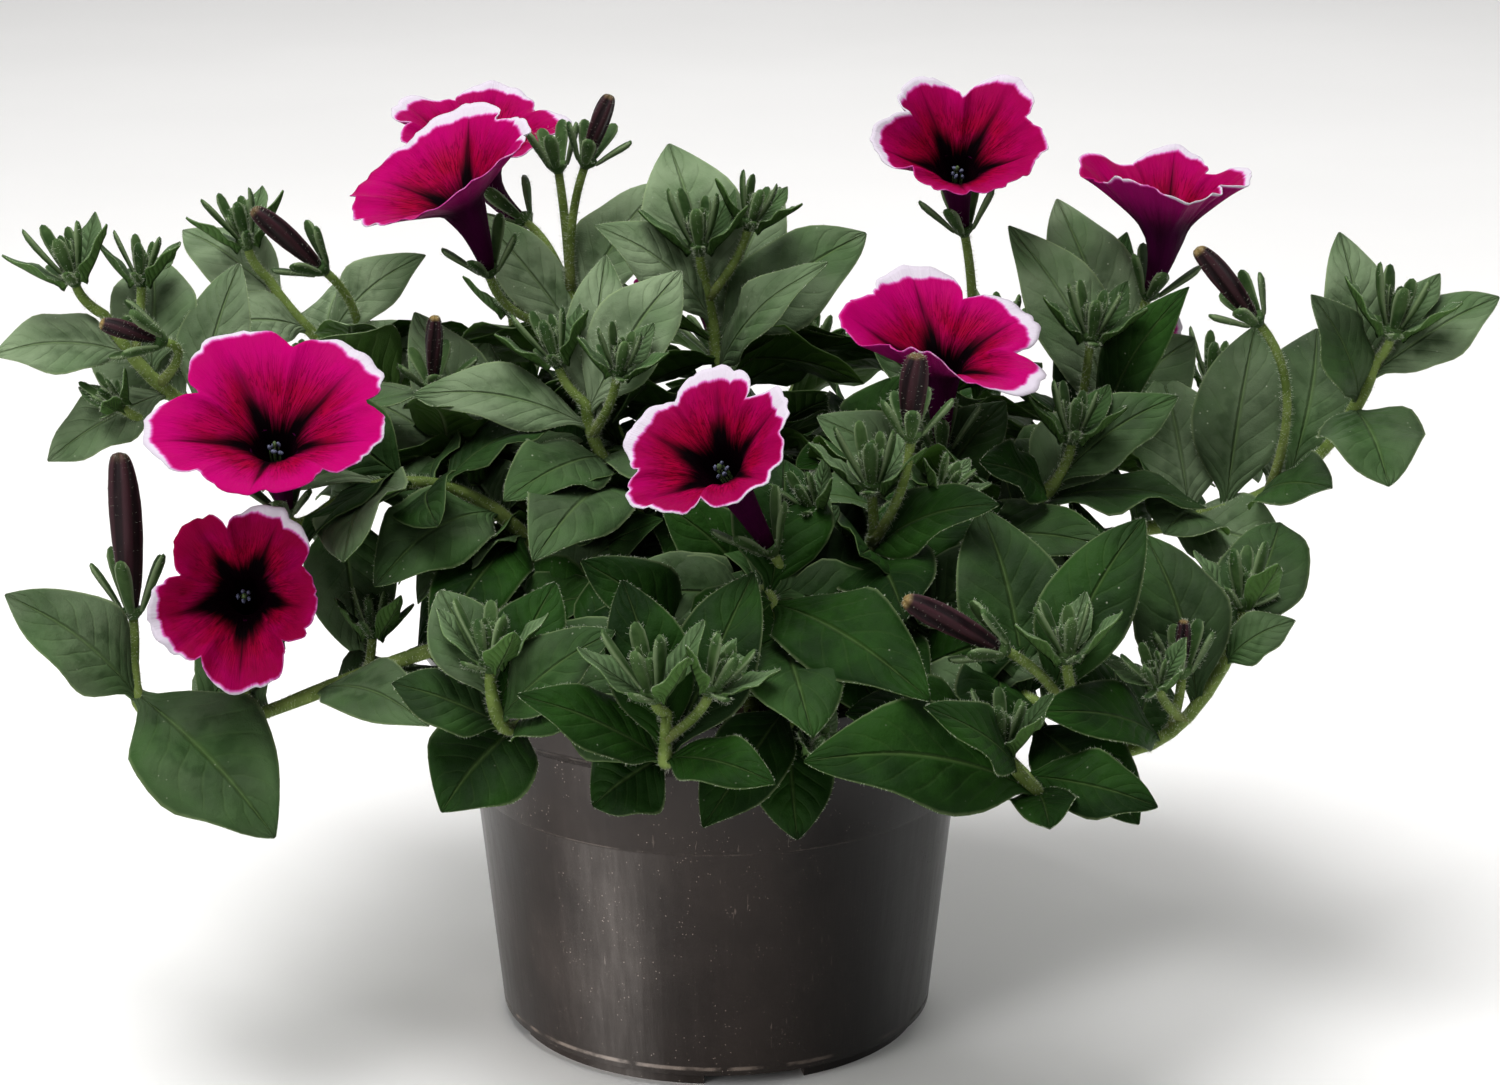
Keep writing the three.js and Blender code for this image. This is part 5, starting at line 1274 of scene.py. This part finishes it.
def wantedLeaves(stem, order):
    # the leaves that are given in the table, then those that the rule adds along the stem
    for place, x, y, z, width in stem["leaves"]:
        yield (place, pointOn(stem, place), vec(x, y, z), vec(*leafMake["facing"]), width,
               leafMake["turns"], leafMake["lifts"])
    acrossX, acrossY = (stem["tip"][k] - stem["root"][k] for k in (0, 1))
    course = math.degrees(math.atan2(acrossY, acrossX))
    for k in range(stem["fill"]):
        draw = (order * leafMake["draws"][0] + k * leafMake["draws"][1]) % 1
        place = leafMake["places"][0] + leafMake["places"][1] * (k + 0.5) / stem["fill"]
        turn = (1 if k % 2 else -1) * (leafMake["turn"][0] + leafMake["turn"][1] * draw)
        length = leafMake["length"][0] + leafMake["length"][1] * ((draw * 7) % 1)
        slope = leafMake["slope"][0] + leafMake["slope"][1] * ((draw * 3) % 1)
        base = pointOn(stem, place)
        facing = leaningUp(vec(base[0], base[1], 0), leafMake["lean"])
        yield (place, base, base + heading(course + turn, slope) * length, facing,
               length * leafMake["width"], leafMake["ruleTurns"], leafMake["ruleLifts"])


def seatedLeaf(tree, base, tip, facing, width, turns, lifts):
    # the place that a leaf has in the solid, found among those that it may take
    chord = tip - base
    length = np.linalg.norm(chord)
    azimuth = math.degrees(math.atan2(chord[1], chord[0]))
    height = math.degrees(math.atan2(chord[2], math.hypot(chord[0], chord[1])))

    def gap(spot):
        return tree.find_nearest(Vector(spot * mm))[3] / mm

    best = (leafMake["near"], None, None)
    for size, lift, turn in product(leafMake["sizes"], lifts, turns):
        way = heading(azimuth + turn, np.clip(height + lift, *leafMake["steepest"]))
        normal, side = squareTo(way, facing)
        reach = length * size
        away = gap(base + way * reach)
        for (share, half), hand in product(leafMake["margin"], (-1, 1)):
            if away < best[0]:
                middle = base + way * reach * share
                middle = middle + normal * 4 * grownLeaf["bow"] * reach * share * (1 - share)
                away = max(away, gap(middle + side * hand * half * width * size))
        if away < best[0]:
            best = (away, base + way * reach, width * size)
    return best[1], best[2]


def addCup(heap, ending, make, size, tone, sides):
    shares, widths = np.array(make["cup"]).T
    widths[1:] *= size
    path = ending["neck"] + np.outer(shares * make["rise"] * size, ending["axis"])
    sweepTube(heap, path, widths, calyxSlot, tone, sides)


def addCalyx(heap, ending, ring, tone, rng):
    # a cup with five sepals, the second and fourth shorter
    axis, base, radius = ending["axis"], ending["base"], calyxMake["radius"]
    addCup(heap, ending, calyxMake, 1, tone, 12)
    outer = nextRing(ring, axis, calyxMake["rise"], radius)
    inner = nextRing(outer, axis, 0, radius * calyxMake["hollow"])
    for j in range(5):
        k = (j + 1) % 5
        middle = (outer[j] + outer[k] + inner[j if j % 2 else k]) / 3
        way = leanOut(middle, base, axis, ending["spread"])
        length = ending["length"] * (calyxMake["shortShare"] if j % 2 else 1)
        foot = base + squareTo(axis, middle - base)[0] * radius * calyxMake["foot"]
        foot = foot - axis * calyxMake["sunk"]
        bendFinger(heap, foot, unit(middle + way * length - foot), axis, length + calyxMake["sunk"],
                   calyxMake["width"], tone + rng.uniform(*calyxMake["tones"]),
                   rng.uniform(*calyxMake["curl"]))


def addShoot(heap, ending, ring, tone, rng):
    # a whorl of finger-like young sepals round small buds, above small spoon-shaped leaves
    make, axis, neck, size = shootMake, ending["axis"], ending["neck"], ending["size"]
    addCup(heap, ending, make, size, tone, 10)
    around = nextRing(ring, axis, make["rise"] * size, make["radius"] * size)
    apex = neck + axis * make["apex"] * size
    for j in range(5):
        k = (j + 1) % 5
        middle = (around[j] + around[k] + apex) / 3
        way = leanOut(middle, neck, axis, make["lean"][0] + make["lean"][1] * (j % 3))
        length = (make["length"][0] + make["length"][1] * (j % 3)) * size
        bendFinger(heap, middle - way * make["sunk"] * size, way, axis, length + make["sunk"] * size,
                   make["width"] * size, tone + rng.uniform(*make["tones"]), rng.uniform(*make["curl"]))
        # a second whorl, smaller and more upright, between the first ones
        way = leanOut(around[j], neck, axis, rng.uniform(*make["innerLean"]))
        foot = apex - axis * make["innerSunk"] * size
        foot = foot + (around[j] - around.mean(axis=0)) * make["innerAside"]
        bendFinger(heap, foot, way, axis, rng.uniform(*make["innerLength"]) * size,
                   rng.uniform(*make["innerWidth"]) * size, tone + rng.uniform(*make["innerTones"]),
                   rng.uniform(*make["innerCurl"]))
        # low outer fingers that hang a little
        if j % 2:
            way = leanOut(middle, neck, axis, rng.uniform(*make["outerLean"]))
            bendFinger(heap, middle - axis * make["outerSunk"] * size - way * size, way, axis,
                       rng.uniform(*make["outerLength"]) * size, make["outerWidth"] * size, tone,
                       make["outerCurl"])
    for j in (0, 2, 4):
        middle = (ring[j] + around[(j + 1) % 5] + around[j]) / 3
        way = leanOut(middle, neck, axis, make["youngLean"])
        length, width = make["young"]
        bendLeaf(heap, middle - way * make["youngSunk"], middle + way * length * size, axis, width * size,
                 tone, rng, youngLeaf)


def roomFor(base, tip):
    # whether an inner leaf lies inside the plant and off its blooms, buds and the pot's front
    make = innerMake
    if (((tip - vec(*make["middle"])) / vec(*make["reach"])) ** 2).sum() > 1 or tip[2] < make["lowest"]:
        return False
    if tip[1] < make["front"][0] and tip[2] < make["front"][1]:
        return False
    spots = [base + (tip - base) * share for share in make["spots"]]
    for bloom, spot in product(blooms.values(), spots):
        normal, calyx, throat, _, _ = bloomAxes(bloom)
        away = spot - vec(*bloom["rim"])
        aside = np.linalg.norm(away - normal * (away @ normal))
        if away @ normal > -make["behind"] and aside < bloom["across"] / 2 + make["clear"]:
            return False
        if np.linalg.norm(spot - (calyx + throat) / 2) < make["fromTube"]:
            return False
    for bud, spot, share in product(buds.values(), spots, (0, 0.5, 1)):
        along = vec(*bud["calyx"]) * (1 - share) + vec(*bud["tip"]) * share
        if np.linalg.norm(spot - along) < make["fromBud"]:
            return False
    return True


def addStalks(heap, name, stem, tone, rng):
    # the stem with its swellings where leaves leave it, and the stalks of calyces and shoots
    make = stemMake
    guides = stemGuides(stem)
    foot = vec(*stem["root"], make["foot"])
    course = np.linspace(0, 1, make["rings"])
    path = np.concatenate(([foot, (foot + guides[0]) / 2], bezier(guides, course)))
    radii = make["radius"] + (make["tipRadius"] - make["radius"]) * course
    radii = np.concatenate(([make["radius"]] * 2, radii))
    for ending in endingsOf(name, stem):
        fromSolid = stalk(pointOn(stem, ending["at"]), ending, (0, 0.5, 1))
        fine = stalk(bezier(guides, ending["at"])[0], ending, np.linspace(0, 1, make["stalkRings"]))
        if ending["at"] == 1:
            fromSolid = np.concatenate(([foot], stemSteps(stem), fromSolid[1:]))
            path = np.concatenate((path, fine[1:]))
            taper = np.linspace(make["tipRadius"], make["stalk"], len(fine) - 1)
            radii = np.concatenate((radii, taper))
        else:
            thicker, fade = make["stalkFoot"]
            widths = make["stalk"] + thicker * np.exp(-np.arange(len(fine)) * fade)
            sweepTube(heap, fine, widths, stemSlot, tone + make["stalkTone"], 8, make["stalkRed"])
        ending["make"](heap, ending, lastRing(fromSolid, make["stalk"]), tone, rng)
    swell = np.ones(len(radii))
    for leaf in stem["leaves"]:
        fromLeaf = np.arange(len(radii)) - 2 - leaf[0] * (make["rings"] - 1)
        swell += hump(fromLeaf, *make["swell"])
    sweepTube(heap, path, radii * np.minimum(swell, make["most"]), stemSlot, tone, 10, make["red"])


# painted light: raises a leaf's own random tone by where it stands, so leaves where the light falls are
# paler and brighter
def paintedLightLeafTone(tip, tone):
    make = leafMake
    high = smooth(tip[2], *make["high"])
    tone += high * (1 - make["rightLessPaintedLight"] * smooth(tip[0], *make["right"]))
    tone += make["outerLight"] * smooth(-tip[0], *make["outer"])
    tone += make["lowRightPaintedLight"] * (1 - high) * smooth(tip[0], *make["farRight"])
    return min(max(tone, 0), 1)


def addSeatedLeaves(heap, name, stem, order, rng):
    # leaves where the solid has them
    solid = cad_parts[name].data
    tree = BVHTree.FromPolygons([v.co for v in solid.vertices], [p.vertices for p in solid.polygons])
    placed = 0
    for place, base, tip, facing, *rest in wantedLeaves(stem, order):
        tip, width = seatedLeaf(tree, base, tip, facing, *rest)
        tone = rng.uniform(*leafMake["tone"])
        if tip is not None:
            placed += 1
            base = bezier(stemGuides(stem), place)[0]
            bendLeaf(heap, base, tip, facing, width, paintedLightLeafTone(tip, tone), rng, grownLeaf)
    return placed


def addInnerLeaves(heap, stem, rng):
    # more leaves, which fill the inside of the plant
    make = innerMake
    for _ in range(make["leaves"]):
        base = bezier(stemGuides(stem), rng.uniform(*make["places"]))[0]
        way = heading(rng.uniform(0, 360), rng.uniform(*make["slope"]))
        length = rng.uniform(*make["length"])
        tip = base + way * length
        tone = rng.uniform(*make["tone"])
        if roomFor(base, tip):
            facing = leaningUp(vec(base[0], base[1] - 20, 0), make["lean"])
            bendLeaf(heap, base, tip, facing, length * make["width"], tone, rng, innerLeaf)


def addStem(name, stem, order):
    rng = np.random.default_rng(stemMake["seed"] + order)
    heap = startHeap()
    addStalks(heap, name, stem, rng.uniform(*stemMake["tone"]), rng)
    placed = addSeatedLeaves(heap, name, stem, order, rng)
    addInnerLeaves(heap, stem, rng)
    growDown(heap, rng)
    standFor(buildPiece(name + "_plant", heap, plantFinishes), name)
    return placed


leafCount = sum(addStem(name, stem, order) for order, (name, stem) in enumerate(leafyStems.items()))
print("stems grown with", leafCount, "leaves")


# corollas: a tube that bends into a funnel with five lobes, with stamens in the throat

corollaMake = {
    "throat": 5.6, "shoulder": 2.7, "flare": 0.74, "bulge": 0.9, "wall": 0.4, "ripple": 0.8, "seed": 7,
    # height and width of the folds along a lobe's middle and its notches, at the brim and over the petal
    "lobeTip": (0.5, 4), "notchCut": (-0.8, 2), "midrib": (-0.9, 3.5), "notchFold": (1.1, 5), "folds": 1.6,
    "brimCurve": 2.6, "waveCurve": 2.2, "pleats": (0.16, 3), "thinner": (1.1, 0.45),
    "tube": ((0, 1.5), (0.12, 1.9), (0.3, 2.5), (0.55, 3.3), (0.8, 4.4), (1, 5.6)),
    "teeth": ((0.32, 11), (0.2, 23), (0.12, 32)), "waves": ((0.5, 5), (0.4, 13), (0.3, 21)),
    "notchTeeth": (0.9, 6.5), "nudge": 0.02,
    "anther": (0.6, 0.45, 0.8), "around": (1.0, 1.7), "height": (-1.5, 0.6), "stigma": 1.15, "turn": 0.4,
    "lean": 0.35, "thread": 0.22, "threadLength": 8, "gathered": 0.3,
}


def alongBrim(bloom, angle):
    # reach, rise and white of the brim at an angle, 0 at a lobe's middle to 1 at a notch, degrees to each
    brim = np.array(bloom["brim"])
    knots = np.append(brim[:, 0], brim[0, 0] + 360)
    turned = (np.degrees(angle) - knots[0]) % 360 + knots[0]
    at = np.clip(np.searchsorted(knots, turned, side="right") - 1, 0, 9)
    width = knots[at + 1] - knots[at]
    part = (turned - knots[at]) / width
    spread = np.where(at % 2 == 0, part, 1 - part)
    lobe = brim[(at + at % 2) % 10]
    notch = brim[(at + 1 - at % 2) % 10]
    shares = (spread ** corollaMake["shoulder"], smooth(spread, 0, 1), smooth(spread, 0.15, 1))
    reach, rise, white = (lobe[:, k + 1] + (notch[:, k + 1] - lobe[:, k + 1]) * shares[k] for k in range(3))
    return reach, rise, white, spread, spread * width, (1 - spread) * width


def corollaSurface(bloom, layer, angle, seed):
    # points of the middle of the wall: layer runs from 0 at the calyx over the tube's rings to the brim
    make, tubeRings = corollaMake, funnel["tubeRings"]
    normal, base, throat, bend, axis = bloomAxes(bloom)
    first, second = squareTo(normal, upward)
    foot = base + axis * calyxMake["seat"]
    reach, brimRise, white, spread, fromMiddle, toNotch = alongBrim(bloom, angle)
    out = np.clip((layer - tubeRings) / funnel["petalRings"], 0, 1)
    phase = np.random.default_rng(seed).uniform(0, 6.3, 8)

    # lobes with rounded ends, notches between them and an uneven, toothed brim
    teeth = sum(size * np.sin(angle * count + phase[k]) for k, (size, count) in enumerate(make["teeth"]))
    size, count = make["notchTeeth"]
    teeth = teeth - size * (1 - np.abs(np.sin(angle * count + phase[6]))) ** 5
    edge = reach + teeth + hump(fromMiddle, *make["lobeTip"]) + hump(toNotch, *make["notchCut"])
    across = make["throat"] + (edge - make["throat"]) * out
    rise = bloom["cup"] * out ** make["flare"] + (brimRise - bloom["cup"]) * out ** make["brimCurve"]
    wave = sum(np.sin(angle * count + phase[k + 3]) * size for k, (size, count) in enumerate(make["waves"]))
    fold = hump(fromMiddle, *make["midrib"]) + hump(toNotch, *make["notchFold"])
    depth, count = make["pleats"]
    pleats = depth * np.cos(spread * 6.3 * count)
    rise = rise + make["ripple"] * (wave * out ** make["waveCurve"])
    rise = rise + fold * out * (1.25 - out) * make["folds"]
    rise = rise + pleats * out * (1.1 - out)
    # each lobe bulges a little before its brim
    rise = rise + make["bulge"] * np.sin(math.pi * out) * smooth(out, 0.3, 0.9) * (1 - 0.6 * spread)
    ring = ringWays(angle, first, second)
    petals = throat + ring * across[:, None] + np.outer(rise, normal)

    # the tube below the throat follows its own bend
    t = np.clip(layer / tubeRings, 0, 1)
    way = unitRows(2 * np.outer(1 - t, bend - foot) + 2 * np.outer(t, throat - bend))
    flat = unitRows(ring - way * (ring * way).sum(axis=1)[:, None])
    wide = np.interp(t, *zip(*make["tube"])) * (1 + 0.05 * np.cos(spread * math.pi) * smooth(t, 0.2, 1))
    tube = bezier([foot, bend, throat], t) + flat * wide[:, None]
    points = np.where((layer <= tubeRings)[:, None], tube, petals)
    border = white - (1 - out) * np.hypot(edge - make["throat"], brimRise)
    marks = np.column_stack((spread, np.where(layer <= tubeRings, t - 1, out), border))
    return points, marks, np.column_stack((np.cos(angle), np.sin(angle)))


def addStamens(heap, throat, normal, rng):
    # five anthers round a stigma, each on its thread
    make, form = corollaMake, antherForm["points"]
    first, second = squareTo(normal, upward)
    for k in range(6):
        inMiddle = k == 5
        turn = 2 * math.pi * k / 5 + make["turn"]
        away = 0 if inMiddle else rng.uniform(*make["around"])
        size = vec(*make["anther"]) * (make["stigma"] if inMiddle else 1)
        middle = throat + (first * math.cos(turn) + second * math.sin(turn)) * away
        middle = middle + normal * (make["height"][1] if inMiddle else rng.uniform(*make["height"]))
        lean = unit(normal + rng.normal(size=3) * make["lean"])
        side, other = squareTo(lean, first)
        blob = np.outer(form[:, 0] * size[0], side) + np.outer(form[:, 1] * size[1], other)
        blob = blob + np.outer(form[:, 2] * size[2], lean)
        pile(heap, middle + blob, antherForm, stigmaSlot if inMiddle else antherSlot)
        thread = middle - normal * np.linspace(0, make["threadLength"], 5)[:, None]
        thread = thread + (throat - middle) * np.linspace(0, make["gathered"], 5)[:, None]
        sweepTube(heap, thread, [make["thread"]] * 5, stigmaSlot, 0.5, 6)


def addCorolla(name, bloom, order):
    heap = startHeap()
    x, y, z = funnelForm["points"].T
    angle = np.arctan2(y, x)
    layer = np.hypot(x, y) - 1
    seed = corollaMake["seed"] * 100 + order
    points, marks, around = corollaSurface(bloom, layer, angle, seed)
    # small steps along and round the wall give the way through it
    nudge = corollaMake["nudge"]
    steps = [corollaSurface(bloom, np.clip(layer + up, 0, funnelRings - 1), angle + turn, seed)[0]
             for up, turn in ((nudge, 0), (-nudge, 0), (0, nudge), (0, -nudge))]
    wallWay = unitRows(np.cross(steps[0] - steps[1], steps[2] - steps[3]))
    inside = z > 0
    whole, less = corollaMake["thinner"]
    thick = corollaMake["wall"] * (whole - less * (layer / funnelRings))
    points = points + wallWay * (np.where(inside, 0.5, -0.5) * thick)[:, None]
    grain = np.column_stack((around, np.where(inside, bloom["red"], -1.0)))
    pile(heap, points, funnelForm, 0, marks, grain)
    normal, _, throat, _, _ = bloomAxes(bloom)
    addStamens(heap, throat, normal, np.random.default_rng(seed + 50))
    piece = buildPiece(name + "_petals", heap, petalFinishes)
    selectOnly(piece)
    editAll()
    facesOutward()
    standFor(piece, name)


for order, (name, bloom) in enumerate(blooms.items()):
    addCorolla(name, bloom, order)
print("corollas made")


# buds: closed corollas, pleated and slightly twisted

budMake = {
    "pleats": 5, "depth": 0.13, "twist": 1.1, "pleatTwist": 2.5, "flare": 8, "start": 1.5, "bend": 0.015,
    "outline": ((0, 0.4), (0.06, 0.55), (0.25, 0.78), (0.45, 0.95), (0.65, 1.0), (0.8, 0.92), (0.9, 0.78),
                (0.96, 0.62), (0.99, 0.4), (1, 0.0)), "seed": 60,
}


def addBud(name, bud, order):
    rng = np.random.default_rng(budMake["seed"] + order)
    tip = vec(*bud["tip"])
    axis = unit(tip - vec(*bud["calyx"]))
    foot = vec(*bud["calyx"]) + axis * calyxMake["seat"]
    first, second = squareTo(axis, upward)
    length = np.linalg.norm(tip - foot)
    x, y, z = budForm["points"].T
    share = (z + 1) / 2
    angle = np.arctan2(y, x) + share * budMake["twist"]
    flare = budMake["start"] + budMake["flare"] * share
    pleat = 0.5 + 0.5 * np.cos(np.arctan2(y, x) * budMake["pleats"] + budMake["pleatTwist"] * share)
    reach = np.minimum(bud["radius"] * np.interp(share, *zip(*budMake["outline"])), flare)
    reach = reach * (1 - budMake["depth"] * pleat * smooth(share, 0.1, 0.6))
    reach = np.where(share < 0.001, 0, reach)
    bend = budMake["bend"] * length * np.sin(math.pi * share)
    points = foot + np.outer(share * length, axis) + np.outer(reach * np.cos(angle) + bend, first)
    points = points + np.outer(reach * np.sin(angle), second)
    heap = startHeap()
    pile(heap, points, budForm, 0, np.column_stack((pleat, share, np.full(len(share), bud["tinge"]))))

    # short hairs all over
    make = down["bud"]
    take = rng.integers(0, len(points), make["count"])
    outward = points - foot - np.outer((points - foot) @ axis, axis)
    lean = strayed(outward[take] + axis * 0.8, rng, make["stray"])
    spot = strayed(points[take], rng, make["spread"])
    addHairs(heap, spot, lean, rng.uniform(*make["length"], len(take)), rng, make["radius"], 1)
    standFor(buildPiece(name + "_closed", heap, budFinishes), name)


for order, (name, bud) in enumerate(buds.items()):
    addBud(name, bud, order)
print("buds made")


# floor and soft studio light: place, aim, size and power of each lamp, in m and W

light = {
    "world": 0.3, "potTint": (1, 0.92, 0.86), "floor": (0.9, 0.89, 0.88), "floorSize": 60, "darker": 0.97,
    "floorRough": 0.9,
}
lamps = {
    "top_softbox": ((-0.25, -0.25, 1.5), (0, 0, 0.12), (1.0, 0.9), 27),
    "left_softbox": ((-0.9, -0.9, 0.6), (0, 0, 0.1), (0.6, 0.6), 5),
    "right_strip": ((1.2, 0.25, 0.4), (0, 0, 0.06), (0.2, 0.8), 2),
    "back_fill": ((0.2, 1.5, 1.2), (0, 0, 0.15), (1.6, 1.0), 9),
    "pot_window": ((-0.66, -0.56, 0.24), (0, 0, 0.05), (0.5, 0.46), 66),
}


def makeFloor():
    bpy.ops.mesh.primitive_plane_add(size=light["floorSize"])
    floor = bpy.context.object
    floor.name = "studio_floor"
    material, shader, place = startMaterial("floor_paper", 0.5)
    darker = tuple(channel * light["darker"] for channel in light["floor"])
    colour = blendColour(remap(noise(place, 3), 0.3, 0.7), darker, light["floor"])
    finish(shader, colour, light["floorRough"])
    floor.data.materials.append(material)


def addLamp(name, place, aim, size, power):
    bpy.ops.object.light_add(type="AREA", location=place)
    lamp = bpy.context.object
    lamp.name = name
    lamp.data.shape = "RECTANGLE"
    lamp.data.size, lamp.data.size_y = size
    lamp.data.energy = power
    lamp.rotation_euler = (Vector(aim) - Vector(place)).to_track_quat("-Z", "Y").to_euler()


makeFloor()
for name, settings in lamps.items():
    addLamp(name, *settings)

# the window beside the pot is warmer and lights nothing but the pot
potWindow = bpy.data.objects["pot_window"]
potWindow.data.color = light["potTint"]
onlyPot = bpy.data.collections.new("lit_by_pot_window")
onlyPot.objects.link(bpy.data.objects["nursery_pot"])
potWindow.light_linking.receiver_collection = onlyPot
world = bpy.context.scene.world or bpy.data.worlds.new("studio")
bpy.context.scene.world = world
world.use_nodes = True
sky = world.node_tree.nodes["Background"]
sky.inputs["Color"].default_value = (1, 1, 1, 1)
sky.inputs["Strength"].default_value = light["world"]
bpy.context.scene.view_settings.view_transform = "Standard"
print("floor and lights set")
